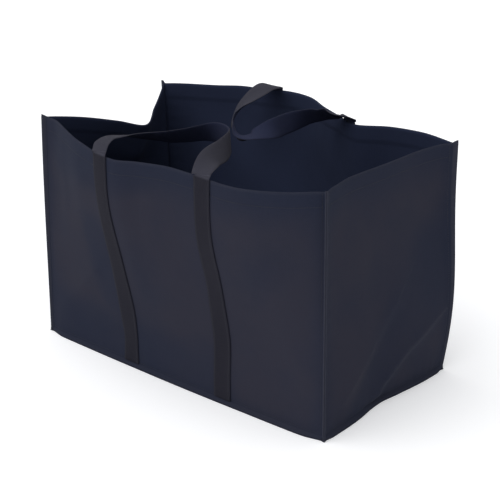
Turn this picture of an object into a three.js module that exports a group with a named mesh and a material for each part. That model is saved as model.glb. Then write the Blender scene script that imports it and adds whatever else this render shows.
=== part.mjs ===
// Canvas carrier bag: an open-topped box of canvas with a webbing strap and handle on each long side.
// Millimetres. +X runs along the bag, +Z is up, and the origin is under the middle of the base.
import * as THREE from 'three';

// Main sizes
const LENGTH = 540;
const WIDTH = 280;
const HEIGHT = 350;
const CLOTH = 1.8;
const CLEARANCE = 0.3;

// Seams and hem
const CORNER_SEAM = 8;
const CORNER_SEAM_AT_FOOT = 5;
const FOOT_SEAM = 5;
const FOOT_SEAM_AT_CORNER = 2.5;
const FOOT_SEAM_TAPER = 0.06;
const FOOT_SEAM_EAR = 1.5;
const HEM_DEPTH = 22;
const HEM_EXTRA = 1.2;
const HEM_STEP = 1.5;
const SEAM_TIP_RISE = 4;

// Webbing
const WEBBING_WIDTH = 30;
const WEBBING_THICKNESS = 2;
const STRAP_START = 1;
const HANDLE_STEP = 6;
const HANDLE_CLEAR_RISE = 5;

// Grid counts over the panels
const WALL_ROWS = 13;
const END_COLUMNS = 15;

// Corner seams. Side signs, then shares of the height: how far the top and the middle stand off the foot.
// topSeam is where the seam points at the top, in degrees from +X.
const CORNERS = {
  front_left: {
    side: -1, face: -1, leanAlong: 0.015, leanAcross: 0.016, midAlong: -0.004, midAcross: 0, topSeam: 225,
  },
  front_right: {
    side: 1, face: -1, leanAlong: -0.007, leanAcross: -0.007, midAlong: 0, midAcross: 0, topSeam: -50,
  },
  back_right: {
    side: 1, face: 1, leanAlong: 0, leanAcross: 0.006, midAlong: 0.013, midAcross: 0.011, topSeam: 40,
  },
  back_left: {
    side: -1, face: 1, leanAlong: -0.02, leanAcross: -0.031, midAlong: 0, midAcross: 0, topSeam: 160,
  },
};

// Sections of each side, by share of its length. The rest are shares of the height: how far the rim and
// the foot stand out, the belly between them, the rise of the rim, and the heights where the lean runs.
const FRONT_SECTIONS = [
  { at: 0.0, rim: 0.0, foot: 0, belly: 0, rise: 0, start: 0.1, full: 1.0 },
  { at: 0.05, rim: 0.016, foot: 0.011, belly: 0, rise: 0, start: 0.1, full: 1.0 },
  { at: 0.12, rim: 0.063, foot: 0.014, belly: 0.004, rise: 0, start: 0.08, full: 1.0 },
  { at: 0.25, rim: 0.141, foot: 0.018, belly: 0.006, rise: 0, start: 0.08, full: 1.0 },
  { at: 0.4, rim: 0.188, foot: 0.020, belly: 0.006, rise: 0, start: 0.08, full: 1.0 },
  { at: 0.48, rim: 0.157, foot: 0.021, belly: 0.006, rise: 0, start: 0.1, full: 1.0 },
  { at: 0.57, rim: 0.133, foot: 0.021, belly: 0.006, rise: 0, start: 0.16, full: 0.97 },
  { at: 0.66, rim: 0.133, foot: 0.020, belly: 0.006, rise: 0, start: 0.22, full: 0.95 },
  { at: 0.76, rim: 0.145, foot: 0.018, belly: 0.006, rise: 0, start: 0.22, full: 0.95 },
  { at: 0.86, rim: 0.125, foot: 0.016, belly: 0.004, rise: 0, start: 0.2, full: 0.95 },
  { at: 0.94, rim: 0.074, foot: 0.012, belly: 0.002, rise: 0, start: 0.2, full: 1.0 },
  { at: 1.0, rim: 0.0, foot: 0, belly: 0, rise: 0, start: 0.2, full: 1.0 },
];
const RIGHT_SECTIONS = [
  { at: 0.0, rim: 0.0, foot: 0.0, belly: 0.0, rise: 0, start: 0, full: 1 },
  { at: 0.06, rim: -0.016, foot: -0.002, belly: 0.0, rise: 0, start: 0, full: 1 },
  { at: 0.2, rim: -0.038, foot: -0.006, belly: 0.008, rise: 0, start: 0, full: 1 },
  { at: 0.3, rim: -0.041, foot: -0.013, belly: 0.01, rise: 0, start: 0, full: 1 },
  { at: 0.4, rim: -0.043, foot: -0.026, belly: 0.012, rise: 0, start: 0, full: 1 },
  { at: 0.5, rim: -0.041, foot: -0.03, belly: 0.013, rise: 0, start: 0, full: 1 },
  { at: 0.62, rim: -0.038, foot: -0.018, belly: 0.012, rise: 0, start: 0, full: 1 },
  { at: 0.82, rim: -0.038, foot: -0.002, belly: 0.006, rise: 0, start: 0, full: 1 },
  { at: 0.94, rim: -0.024, foot: 0.0, belly: 0.0, rise: 0, start: 0, full: 1 },
  { at: 1.0, rim: 0.0, foot: 0.0, belly: 0.0, rise: 0, start: 0, full: 1 },
];
const BACK_SECTIONS = [
  { at: 0.0, rim: 0.0, foot: 0, belly: 0, rise: 0, start: 0.15, full: 1.05 },
  { at: 0.06, rim: 0.03, foot: 0, belly: 0.002, rise: 0.002, start: 0.15, full: 1.05 },
  { at: 0.12, rim: 0.044, foot: 0, belly: 0.004, rise: 0.003, start: 0.15, full: 1.05 },
  { at: 0.2, rim: 0.034, foot: 0, belly: 0.006, rise: 0.003, start: 0.15, full: 1.05 },
  { at: 0.3, rim: -0.009, foot: 0, belly: 0.006, rise: -0.006, start: 0.2, full: 1.05 },
  { at: 0.37, rim: 0.038, foot: 0, belly: 0.006, rise: 0.002, start: 0.15, full: 1.05 },
  { at: 0.45, rim: 0.102, foot: 0, belly: 0.008, rise: 0.015, start: 0.15, full: 1.05 },
  { at: 0.53, rim: 0.167, foot: 0, belly: 0.008, rise: 0.036, start: 0.15, full: 1.05 },
  { at: 0.61, rim: 0.189, foot: 0, belly: 0.008, rise: 0.043, start: 0.15, full: 1.05 },
  { at: 0.7, rim: 0.174, foot: 0, belly: 0.008, rise: 0.033, start: 0.15, full: 1.05 },
  { at: 0.78, rim: 0.162, foot: 0, belly: 0.006, rise: 0.027, start: 0.15, full: 1.05 },
  { at: 0.86, rim: 0.124, foot: 0, belly: 0.004, rise: 0.011, start: 0.15, full: 1.05 },
  { at: 0.94, rim: 0.074, foot: 0, belly: 0.002, rise: 0.001, start: 0.15, full: 1.05 },
  { at: 1.0, rim: 0.0, foot: 0, belly: 0, rise: 0, start: 0.15, full: 1.05 },
];
const LEFT_SECTIONS = [
  { at: 0.0, rim: 0.0, foot: 0, belly: 0.0, rise: 0, start: 0.3, full: 1 },
  { at: 0.05, rim: -0.01, foot: 0, belly: 0.01, rise: -0.04, start: 0.3, full: 1 },
  { at: 0.2, rim: -0.075, foot: 0, belly: 0.05, rise: -0.07, start: 0.3, full: 1 },
  { at: 0.38, rim: -0.145, foot: 0, belly: 0.1, rise: -0.095, start: 0.3, full: 1 },
  { at: 0.58, rim: -0.105, foot: 0, belly: 0.09, rise: -0.06, start: 0.3, full: 1 },
  { at: 0.8, rim: -0.045, foot: 0, belly: 0.045, rise: -0.025, start: 0.3, full: 1 },
  { at: 1.0, rim: 0.0, foot: 0, belly: 0.0, rise: 0, start: 0.3, full: 1 },
];

// Folds: a ridge line over a side, as shares of its length and height, with width and depth as shares of
// the height.
const RIGHT_FOLDS = [
  { fromAt: 0.47, fromUp: 0.08, toAt: 0.62, toUp: 0.19, width: 0.08, depth: 0.018 },
  { fromAt: 0.62, fromUp: 0.19, toAt: 0.98, toUp: 0.28, width: 0.08, depth: 0.016 },
  { fromAt: 0.17, fromUp: 0.14, toAt: 0.5, toUp: 0.39, width: 0.09, depth: 0.012 },
];
const LEFT_FOLDS = [
  { fromAt: 0.38, fromUp: 0.8, toAt: 0.33, toUp: 0.4, width: 0.09, depth: -0.03 },
];
const NO_FOLDS = [];

// Where each strap leg runs over its side, as shares of the side's length.
const FRONT_LEGS = [
  { foot: 0.343, rim: 0.352 },
  { foot: 0.68, rim: 0.689 },
];
const BACK_LEGS = [
  { foot: 0.325, rim: 0.33 },
  { foot: 0.668, rim: 0.672 },
];

const SIDES = {
  front_panel: {
    from: 'front_left', to: 'front_right', sections: FRONT_SECTIONS, folds: NO_FOLDS, legs: FRONT_LEGS,
    columns: [9, 2, 9, 2, 8],
  },
  right_end_panel: {
    from: 'front_right', to: 'back_right', sections: RIGHT_SECTIONS, folds: RIGHT_FOLDS, legs: [],
    columns: [END_COLUMNS],
  },
  back_panel: {
    from: 'back_right', to: 'back_left', sections: BACK_SECTIONS, folds: NO_FOLDS, legs: BACK_LEGS,
    columns: [8, 2, 9, 2, 8],
  },
  left_end_panel: {
    from: 'back_left', to: 'front_left', sections: LEFT_SECTIONS, folds: LEFT_FOLDS, legs: [],
    columns: [END_COLUMNS],
  },
};

// The handles, from the first leg to the second. Centres are shares of half the length, half the width
// and the height. heading and tilt give the way across the webbing, in degrees.
const NEAR_HANDLE = [
  { along: -0.304, across: -1.386, up: 1.017, heading: -17, tilt: 2 },
  { along: -0.326, across: -1.286, up: 1.025, heading: -28, tilt: 6 },
  { along: -0.33, across: -1.164, up: 1.025, heading: -38, tilt: 8 },
  { along: -0.311, across: -1.021, up: 1.02, heading: -44, tilt: 18 },
  { along: -0.256, across: -0.886, up: 1.015, heading: -49, tilt: 32 },
  { along: -0.189, across: -0.736, up: 1.01, heading: -49, tilt: 42 },
  { along: -0.148, across: -0.55, up: 1.003, heading: -54, tilt: 52 },
  { along: -0.089, across: -0.35, up: 1.006, heading: -56, tilt: 66 },
  { along: 0.011, across: -0.321, up: 1.016, heading: -72, tilt: 84 },
  { along: 0.148, across: -0.471, up: 1.022, heading: -100, tilt: 86 },
  { along: 0.237, across: -0.757, up: 1.02, heading: -150, tilt: 65 },
  { along: 0.304, across: -1.07, up: 1.028, heading: -155, tilt: 40 },
  { along: 0.352, across: -1.25, up: 1.023, heading: -168, tilt: 16 },
];
const FAR_HANDLE = [
  { along: 0.333, across: 0.971, up: 1.019, heading: 178, tilt: 0 },
  { along: 0.315, across: 0.936, up: 1.026, heading: 160, tilt: -3 },
  { along: 0.289, across: 0.929, up: 1.027, heading: 138, tilt: -14 },
  { along: 0.256, across: 0.943, up: 1.024, heading: 125, tilt: -28 },
  { along: 0.219, across: 0.954, up: 1.02, heading: 130, tilt: -38 },
  { along: 0.178, across: 0.957, up: 1.01, heading: 138, tilt: -42 },
  { along: 0.115, across: 0.907, up: 1.0, heading: 142, tilt: -60 },
  { along: 0.074, across: 0.821, up: 0.987, heading: 142, tilt: -80 },
  { along: 0.044, across: 0.671, up: 0.977, heading: -49, tilt: -72 },
  { along: 0.037, across: 0.471, up: 0.97, heading: -47, tilt: -52 },
  { along: 0.007, across: 0.321, up: 0.96, heading: -41, tilt: -24 },
  { along: -0.03, across: 0.229, up: 0.95, heading: -41, tilt: -2 },
  { along: -0.1, across: 0.229, up: 0.943, heading: -43, tilt: 15 },
  { along: -0.189, across: 0.336, up: 0.95, heading: -46, tilt: 21 },
  { along: -0.244, across: 0.443, up: 0.971, heading: -46, tilt: 21 },
  { along: -0.274, across: 0.571, up: 0.991, heading: -43, tilt: 18 },
  { along: -0.296, across: 0.764, up: 1.018, heading: -24, tilt: 5 },
  { along: -0.311, across: 0.97, up: 1.04, heading: -8, tilt: -6 },
  { along: -0.335, across: 1.179, up: 1.05, heading: 6, tilt: -10 },
  { along: -0.355, across: 1.343, up: 1.042, heading: 10, tilt: -8 },
];

// Colours
const CANVAS_COLOUR = 0x2b2c38;
const CANVAS_LIT_COLOUR = 0x2e2f3c;
const WEBBING_COLOUR = 0x3a3a42;

const UP = new THREE.Vector3(0, 0, 1);
const FOOT_HEIGHT = CLOTH + CLEARANCE;
const FOOT_SEAM_TOP = FOOT_HEIGHT + FOOT_SEAM;
const HALF_GAP = CLEARANCE / 2;
const FLAT_MITRE = 0.001;
const NEARBY_SHARE = 0.01;
const TIP_RISE_POWER = 6;

// How cloth that curves out by smooth() sinks as it keeps its length: the running sum of the squared slope.
const SINK_CUBE = 12;
const SINK_FOURTH = 18;
const SINK_FIFTH = 7.2;

function degrees(value) {
  return THREE.MathUtils.degToRad(value);
}

function mix(a, b, share) {
  return a + (b - a) * share;
}

function smooth(share) {
  const held = THREE.MathUtils.clamp(share, 0, 1);
  return held * held * (3 - 2 * held);
}

// A smooth value between the rows of a table, from its named column.
function tableValue(rows, share, column) {
  const last = rows.length - 1;
  let row = 0;
  while (row < last - 1 && share > rows[row + 1].at) {
    row += 1;
  }
  const slope = (index) => {
    const before = rows[Math.max(index - 1, 0)];
    const after = rows[Math.min(index + 1, last)];
    return (after[column] - before[column]) / (after.at - before.at);
  };
  const span = rows[row + 1].at - rows[row].at;
  const t = (share - rows[row].at) / span;
  const t2 = t * t;
  const t3 = t2 * t;
  return (2 * t3 - 3 * t2 + 1) * rows[row][column] + (t3 - 2 * t2 + t) * span * slope(row)
    + (3 * t2 - 2 * t3) * rows[row + 1][column] + (t3 - t2) * span * slope(row + 1);
}

// A corner seam's root at a share of the height.
function cornerPoint(corner, up) {
  const middle = Math.sin(Math.PI * up);
  return new THREE.Vector3(
    corner.side * LENGTH / 2 + HEIGHT * (corner.leanAlong * up + corner.midAlong * middle),
    corner.face * WIDTH / 2 + HEIGHT * (corner.leanAcross * up + corner.midAcross * middle),
    HEIGHT * up,
  );
}

// The way a corner seam points at a share of the height.
function seamDirection(corner, up) {
  const foot = new THREE.Vector2(corner.side, corner.face).normalize();
  const top = new THREE.Vector2(Math.cos(degrees(corner.topSeam)), Math.sin(degrees(corner.topSeam)));
  const way = foot.lerp(top, up).normalize();
  return new THREE.Vector3(way.x, way.y, 0);
}

// How far a fold pushes the cloth out at a place on a side.
function foldHeight(fold, share, up, sideLength) {
  const dx = (fold.toAt - fold.fromAt) * sideLength;
  const dz = (fold.toUp - fold.fromUp) * HEIGHT;
  const px = (share - fold.fromAt) * sideLength;
  const pz = (up - fold.fromUp) * HEIGHT;
  const t = THREE.MathUtils.clamp((px * dx + pz * dz) / (dx * dx + dz * dz), 0, 1);
  const away = Math.hypot(px - t * dx, pz - t * dz) / (fold.width * HEIGHT);
  return fold.depth * HEIGHT * Math.exp(-away * away);
}

// A point of a side's seam-side face, by shares of its length and height. Cloth that leans out keeps its
// length, so its rim sinks by what the lean takes up.
function sidePoint(side, share, up) {
  const start = cornerPoint(CORNERS[side.from], up);
  const end = cornerPoint(CORNERS[side.to], up);
  const point = start.clone().lerp(end, share);
  const outward = end.clone().sub(start).cross(UP).normalize();
  const value = (column) => tableValue(side.sections, share, column);
  const rim = value('rim');
  const span = value('full') - value('start');
  const q = THREE.MathUtils.clamp((up - value('start')) / span, 0, 1);
  const sink = rim * rim / (2 * span) * (SINK_CUBE * q ** 3 - SINK_FOURTH * q ** 4 + SINK_FIFTH * q ** 5);
  const foot = value('foot') * (1 - smooth(up));
  let out = HEIGHT * (rim * smooth(q) + foot + value('belly') * Math.sin(Math.PI * up));
  const sideLength = start.distanceTo(end);
  for (const fold of side.folds) {
    out += foldHeight(fold, share, up, sideLength) * Math.sin(Math.PI * Math.min(share, 1 - share, 0.5));
  }
  point.addScaledVector(outward, out);
  point.z += HEIGHT * (value('rise') * up * up - sink);
  return point;
}

// The columns of a side at a share of the height. Strap edges and centres always fall on a column.
function columnShares(side, up) {
  const stops = [0];
  const halfWidth = WEBBING_WIDTH / 2 / LENGTH;
  for (const leg of side.legs) {
    const centre = mix(leg.foot, leg.rim, up);
    stops.push(centre - halfWidth, centre + halfWidth);
  }
  stops.push(1);
  const shares = [0];
  side.columns.forEach((count, index) => {
    for (let step = 1; step <= count; step += 1) {
      shares.push(mix(stops[index], stops[index + 1], step / count));
    }
  });
  return shares;
}

// Heights of a side's rows above its foot seam, with a close pair at the lower edge of the hem.
function rowShares() {
  const low = (FOOT_SEAM_TOP + STRAP_START) / HEIGHT;
  const high = 1 - (HEM_DEPTH + HEM_STEP) / HEIGHT;
  const shares = [FOOT_SEAM_TOP / HEIGHT];
  for (let row = 0; row <= WALL_ROWS; row += 1) {
    shares.push(mix(low, high, row / WALL_ROWS));
  }
  shares.push(1 - HEM_DEPTH / HEIGHT, 1 - HEM_DEPTH / HEIGHT / 2, 1);
  return shares;
}

// The grid of a side's seam-side face. The first and last columns are the tips of the corner seams, and
// the first row is the tip of the foot seam.
function sideGrid(side) {
  const rows = rowShares();
  const grid = rows.map((up) => {
    const shares = columnShares(side, up);
    const line = shares.map((share) => sidePoint(side, share, up));
    return [seamTip(side.from, up), ...line, seamTip(side.to, up)];
  });
  const base = columnShares(side, rows[0]).map((share) => {
    const point = sidePoint(side, share, rows[0]);
    const ahead = sidePoint(side, Math.min(share + NEARBY_SHARE, 1), rows[0]);
    const behind = sidePoint(side, Math.max(share - NEARBY_SHARE, 0), rows[0]);
    const outward = ahead.sub(behind).setZ(0).cross(UP).normalize();
    const taper = smooth(Math.min(share, 1 - share) / FOOT_SEAM_TAPER);
    return point.addScaledVector(outward, mix(FOOT_SEAM_AT_CORNER, FOOT_SEAM, taper)).setZ(FOOT_HEIGHT);
  });
  base[0] = footCorner(side.from, FOOT_SEAM_AT_CORNER);
  base[base.length - 1] = footCorner(side.to, FOOT_SEAM_AT_CORNER);
  const ear = FOOT_SEAM_AT_CORNER + FOOT_SEAM_EAR;
  grid.unshift([footCorner(side.from, ear), ...base, footCorner(side.to, ear)]);
  return grid;
}

// The tip of a corner seam, standing a little higher at the rim.
function seamTip(name, up) {
  const corner = CORNERS[name];
  const width = mix(CORNER_SEAM_AT_FOOT, CORNER_SEAM, smooth(up));
  const tip = cornerPoint(corner, up).addScaledVector(seamDirection(corner, up), width);
  tip.z += SEAM_TIP_RISE * up ** TIP_RISE_POWER;
  return tip;
}

// A point out from a corner at the foot, along its diagonal.
function footCorner(name, out) {
  const corner = CORNERS[name];
  const point = cornerPoint(corner, FOOT_SEAM_TOP / HEIGHT).setZ(FOOT_HEIGHT);
  return point.add(new THREE.Vector3(corner.side * out, corner.face * out, 0));
}

// The outward step at each grid point that moves every face beside it out by one millimetre.
function mitreSteps(grid) {
  const normals = grid.map((line) => line.map(() => []));
  for (let row = 0; row < grid.length - 1; row += 1) {
    for (let col = 0; col < grid[0].length - 1; col += 1) {
      const a = grid[row][col];
      const b = grid[row][col + 1];
      const c = grid[row + 1][col + 1];
      const d = grid[row + 1][col];
      const normal = c.clone().sub(a).cross(d.clone().sub(b)).normalize();
      for (const [r, k] of [[row, col], [row, col + 1], [row + 1, col + 1], [row + 1, col]]) {
        normals[r][k].push(normal);
      }
    }
  }
  return normals.map((line) => line.map(mitre));
}

// Solves for the step whose part along each normal is one.
function mitre(normals) {
  const m = new Array(9).fill(0);
  const sum = new THREE.Vector3();
  for (const normal of normals) {
    const n = normal.toArray();
    for (let i = 0; i < 3; i += 1) {
      for (let j = 0; j < 3; j += 1) {
        m[3 * i + j] += n[i] * n[j];
      }
    }
    sum.add(normal);
  }
  for (let i = 0; i < 3; i += 1) {
    m[4 * i] += FLAT_MITRE;
  }
  return sum.applyMatrix3(new THREE.Matrix3().set(...m).invert());
}

// One closed solid from rings of points: each ring has the same count, and the ends are capped.
function ringSolid(rings) {
  const count = rings[0].length;
  const positions = rings.flat().flatMap((point) => point.toArray());
  const faces = [];
  for (let ring = 0; ring < rings.length - 1; ring += 1) {
    for (let k = 0; k < count; k += 1) {
      const a = ring * count + k;
      const b = ring * count + (k + 1) % count;
      faces.push(a, b + count, b, a, a + count, b + count);
    }
  }
  return { positions, faces, count, last: (rings.length - 1) * count };
}

// Caps a ring that is a flat strip: its first half runs one way and its second half runs back.
function capStrip(faces, first, count, reversed) {
  const half = count / 2;
  for (let k = 0; k < half - 1; k += 1) {
    const a = first + k;
    const b = first + k + 1;
    const c = first + count - 2 - k;
    const d = first + count - 1 - k;
    if (reversed) {
      faces.push(a, c, b, a, d, c);
    } else {
      faces.push(a, b, c, a, c, d);
    }
  }
}

function makeGeometry(positions, faces) {
  const geometry = new THREE.BufferGeometry();
  geometry.setAttribute('position', new THREE.Float32BufferAttribute(positions, 3));
  geometry.setIndex(faces);
  geometry.computeVertexNormals();
  return geometry;
}

// A strip solid: rings whose first half lies on one face and whose second half runs back on the other.
function stripGeometry(rings) {
  const { positions, faces, count, last } = ringSolid(rings);
  capStrip(faces, 0, count, false);
  capStrip(faces, last, count, true);
  return makeGeometry(positions, faces);
}

function makeMesh(name, geometry, colour) {
  const material = new THREE.MeshStandardMaterial({ color: colour, roughness: 0.9, metalness: 0 });
  material.name = name;
  const mesh = new THREE.Mesh(geometry, material);
  mesh.name = name;
  return mesh;
}

// A side as cloth: its seam-side face and its outer face, with the hem thicker on the inside.
function sideGeometry(side) {
  const grid = sideGrid(side);
  const steps = mitreSteps(grid);
  const hemRow = grid.length - 3;
  const lastCol = grid[0].length - 1;
  const rings = grid.map((line, row) => {
    const inner = line.map((point, col) => {
      const hemmed = row >= hemRow && col > 1 && col < lastCol - 1;
      const depth = hemmed ? HALF_GAP - HEM_EXTRA : HALF_GAP;
      return point.clone().addScaledVector(steps[row][col], depth);
    });
    const outer = line.map((point, col) => point.clone().addScaledVector(steps[row][col], HALF_GAP + CLOTH));
    return [...inner, ...outer.reverse()];
  });
  return stripGeometry(rings);
}

// The rings of a strap leg, lying just off its side from the foot seam to the rim.
function legRings(side, leg) {
  const grid = sideGrid(side);
  const steps = mitreSteps(grid);
  const before = side.columns.slice(0, 2 * leg + 1).reduce((sum, count) => sum + count, 0);
  const columns = [before + 1, before + 2, before + 3];
  const near = HALF_GAP + CLOTH + CLEARANCE;
  const rings = [];
  for (let row = 2; row < grid.length; row += 1) {
    const at = (col, depth) => grid[row][col].clone().addScaledVector(steps[row][col], depth);
    const inner = columns.map((col) => at(col, near));
    const outer = columns.map((col) => at(col, near + WEBBING_THICKNESS));
    rings.push([...inner, ...outer.reverse()]);
  }
  return rings;
}

// Turns a leg's rings round, for the leg that runs down.
function reverseLeg(rings) {
  const turned = rings.map((ring) => [ring[2], ring[1], ring[0], ring[5], ring[4], ring[3]]);
  return turned.reverse();
}

function ringCentre(ring) {
  const sum = new THREE.Vector3();
  for (const point of ring) {
    sum.add(point);
  }
  return sum.divideScalar(ring.length);
}

// The handle's stations: its table between the tops of the two legs.
function handleStations(rows, firstTop, lastTop) {
  const station = (centre, way) => ({ x: centre.x, y: centre.y, z: centre.z, wx: way.x, wy: way.y, wz: way.z });
  const legStation = (ring, lift) => {
    const centre = ringCentre(ring);
    centre.z += lift;
    return station(centre, ring[2].clone().sub(ring[0]).normalize());
  };
  const stations = rows.map((row) => {
    const centre = new THREE.Vector3(row.along * LENGTH / 2, row.across * WIDTH / 2, row.up * HEIGHT);
    const way = new THREE.Vector3(Math.cos(degrees(row.heading)), Math.sin(degrees(row.heading)), 0);
    way.multiplyScalar(Math.cos(degrees(row.tilt)));
    way.z = Math.sin(degrees(row.tilt));
    return station(centre, way);
  });
  const all = [
    legStation(firstTop, 0), legStation(firstTop, HANDLE_CLEAR_RISE), ...stations,
    legStation(lastTop, HANDLE_CLEAR_RISE), legStation(lastTop, 0),
  ];
  let run = 0;
  all.forEach((item, index) => {
    if (index > 0) {
      const last = all[index - 1];
      run += Math.hypot(item.x - last.x, item.y - last.y, item.z - last.z);
    }
    item.at = run;
  });
  return all;
}

// The rings of the free handle between two legs.
function handleRings(rows, firstTop, lastTop) {
  const stations = handleStations(rows, firstTop, lastTop);
  const total = stations[stations.length - 1].at;
  const count = Math.round(total / HANDLE_STEP);
  const sample = (run, names) => new THREE.Vector3(...names.map((name) => tableValue(stations, run, name)));
  const rings = [];
  for (let step = 1; step < count; step += 1) {
    const run = total * step / count;
    const centre = sample(run, ['x', 'y', 'z']);
    const ahead = sample(Math.min(run + 1, total), ['x', 'y', 'z']);
    const way = ahead.sub(sample(Math.max(run - 1, 0), ['x', 'y', 'z'])).normalize();
    const across = sample(run, ['wx', 'wy', 'wz']);
    across.addScaledVector(way, -across.dot(way)).normalize();
    const face = across.clone().cross(way);
    const at = (side, depth) => centre.clone()
      .addScaledVector(across, side * WEBBING_WIDTH / 2)
      .addScaledVector(face, depth * WEBBING_THICKNESS / 2);
    rings.push([at(-1, -1), at(0, -1), at(1, -1), at(1, 1), at(0, 1), at(-1, 1)]);
  }
  return rings;
}

// A strap: one length of webbing, up one leg, round the handle and down the other leg.
function strapGeometry(side, handle) {
  const rising = legRings(side, 0);
  const falling = reverseLeg(legRings(side, 1));
  const middle = handleRings(handle, rising[rising.length - 1], falling[0]);
  return stripGeometry([...rising, ...middle, ...falling]);
}

// The base: a flat sheet out to the tips of the foot seams.
function baseGeometry() {
  const outline = [];
  for (const side of Object.values(SIDES)) {
    const foot = sideGrid(side)[0];
    const ring = foot.slice(1, foot.length - 1).map((point) => new THREE.Vector2(point.x, point.y));
    outline.push(new THREE.Vector2(foot[0].x, foot[0].y), ...ring);
  }
  const positions = [0, 0, 0, 0, 0, CLOTH];
  const faces = [];
  const count = outline.length;
  outline.forEach((point) => {
    const wide = point.clone().multiplyScalar(1 + CLOTH / point.length());
    positions.push(wide.x, wide.y, 0, wide.x, wide.y, CLOTH);
  });
  for (let k = 0; k < count; k += 1) {
    const a = 2 + 2 * k;
    const b = 2 + 2 * ((k + 1) % count);
    faces.push(0, b, a, 1, a + 1, b + 1, a, b, b + 1, a, b + 1, a + 1);
  }
  return makeGeometry(positions, faces);
}

function makeBag() {
  const bag = new THREE.Group();
  bag.name = 'canvas_carrier_bag';
  bag.add(makeMesh('bottom_panel', baseGeometry(), CANVAS_COLOUR));
  for (const [name, side] of Object.entries(SIDES)) {
    bag.add(makeMesh(name, sideGeometry(side), CANVAS_LIT_COLOUR));
  }
  bag.add(makeMesh('front_strap', strapGeometry(SIDES.front_panel, NEAR_HANDLE), WEBBING_COLOUR));
  bag.add(makeMesh('back_strap', strapGeometry(SIDES.back_panel, FAR_HANDLE), WEBBING_COLOUR));
  return bag;
}

export default makeBag();
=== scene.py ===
# %% [markdown]
# # A canvas carrier bag
# The bag is an open-topped box of heavy dark canvas. Four walls are sewn to a base, with the seams
# turned outward, and one length of webbing is sewn to each long side and loops up as a handle.
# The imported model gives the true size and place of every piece. Here each cloth piece gets a finer
# mesh in the same place, with its folds, seams, thread and finish.

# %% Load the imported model
import math
import bpy
import numpy as np
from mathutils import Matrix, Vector


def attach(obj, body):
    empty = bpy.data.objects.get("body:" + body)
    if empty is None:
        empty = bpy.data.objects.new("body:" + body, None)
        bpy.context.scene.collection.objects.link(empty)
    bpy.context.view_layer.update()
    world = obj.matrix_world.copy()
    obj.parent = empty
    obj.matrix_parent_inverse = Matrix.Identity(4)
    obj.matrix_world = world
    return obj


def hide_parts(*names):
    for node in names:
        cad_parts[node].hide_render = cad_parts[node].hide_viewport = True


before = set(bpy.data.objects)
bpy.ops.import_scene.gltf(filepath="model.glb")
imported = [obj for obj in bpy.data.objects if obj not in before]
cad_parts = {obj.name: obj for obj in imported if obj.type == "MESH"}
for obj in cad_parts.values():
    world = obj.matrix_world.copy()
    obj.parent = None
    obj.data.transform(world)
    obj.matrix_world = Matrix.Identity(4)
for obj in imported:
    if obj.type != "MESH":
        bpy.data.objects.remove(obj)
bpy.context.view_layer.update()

print("nodes:", sorted(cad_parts))

# %% [markdown]
# ## The view
# The camera stands to the right of the bag and above it. It could be aimed by eye, but its place was
# worked out from the four corner seams, so that the model falls on the same lines as the real bag.

# %% Camera
CAMERA_PLACE = (1.174, -1.343, 0.855)
CAMERA_TURN_DEG = 40.67
CAMERA_DIP_DEG = 21.18
CAMERA_LENS_MM = 91.94

camera_data = bpy.data.cameras.new("camera")
camera_data.lens = CAMERA_LENS_MM
camera_data.sensor_width = 36.0
camera = bpy.data.objects.new("camera", camera_data)
camera.location = CAMERA_PLACE
camera.rotation_euler = (math.radians(90 - CAMERA_DIP_DEG), 0.0, math.radians(CAMERA_TURN_DEG))
bpy.context.scene.collection.objects.link(camera)
bpy.context.scene.camera = camera
print("camera at", CAMERA_PLACE)

# %% [markdown]
# ## Light
# A catalogue studio lights a dark bag evenly: a white light table below, white walls all round, and one
# broad soft light above and a little to the left. One hard lamp would draw sharp shadows that hide the
# cloth's own folds, and would leave the dark canvas with no shape at all.

# %% Floor, sky and lamps
FLOOR_HALF = 60.0
FLOOR_COLOUR = (0.93, 0.935, 0.95, 1.0)
FLOOR_GLOW = 0.3
SKY_STRENGTH = 0.55
OVERHEAD_STRENGTH = 1.55
OVERHEAD_WAY = (0.24, 0.42, -0.87)
OVERHEAD_SPREAD_DEG = 75


def plain_material(name, colour, roughness):
    material = bpy.data.materials.new(name)
    material.use_nodes = True
    shader = material.node_tree.nodes["Principled BSDF"]
    shader.inputs["Base Color"].default_value = colour
    shader.inputs["Roughness"].default_value = roughness
    return material


def mesh_piece(name, vertices, faces, material):
    mesh = bpy.data.meshes.new(name)
    mesh.from_pydata([tuple(map(float, v)) for v in vertices], [], faces)
    mesh.materials.append(material)
    mesh.validate()
    piece = bpy.data.objects.new(name, mesh)
    bpy.context.scene.collection.objects.link(piece)
    return piece


floor_corners = [(-FLOOR_HALF, -FLOOR_HALF, 0), (FLOOR_HALF, -FLOOR_HALF, 0),
                 (FLOOR_HALF, FLOOR_HALF, 0), (-FLOOR_HALF, FLOOR_HALF, 0)]
floor_paint = plain_material("floor_paint", FLOOR_COLOUR, 0.9)
floor_paint.node_tree.nodes["Principled BSDF"].inputs["Emission Color"].default_value = FLOOR_COLOUR
floor_paint.node_tree.nodes["Principled BSDF"].inputs["Emission Strength"].default_value = FLOOR_GLOW
floor = mesh_piece("floor", floor_corners, [(0, 1, 2, 3)], floor_paint)

sky = bpy.data.worlds.new("studio")
sky.use_nodes = True
sky.node_tree.nodes["Background"].inputs["Color"].default_value = (1.0, 1.0, 1.0, 1.0)
sky.node_tree.nodes["Background"].inputs["Strength"].default_value = SKY_STRENGTH
bpy.context.scene.world = sky
bpy.context.scene.view_settings.view_transform = "Standard"

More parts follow.
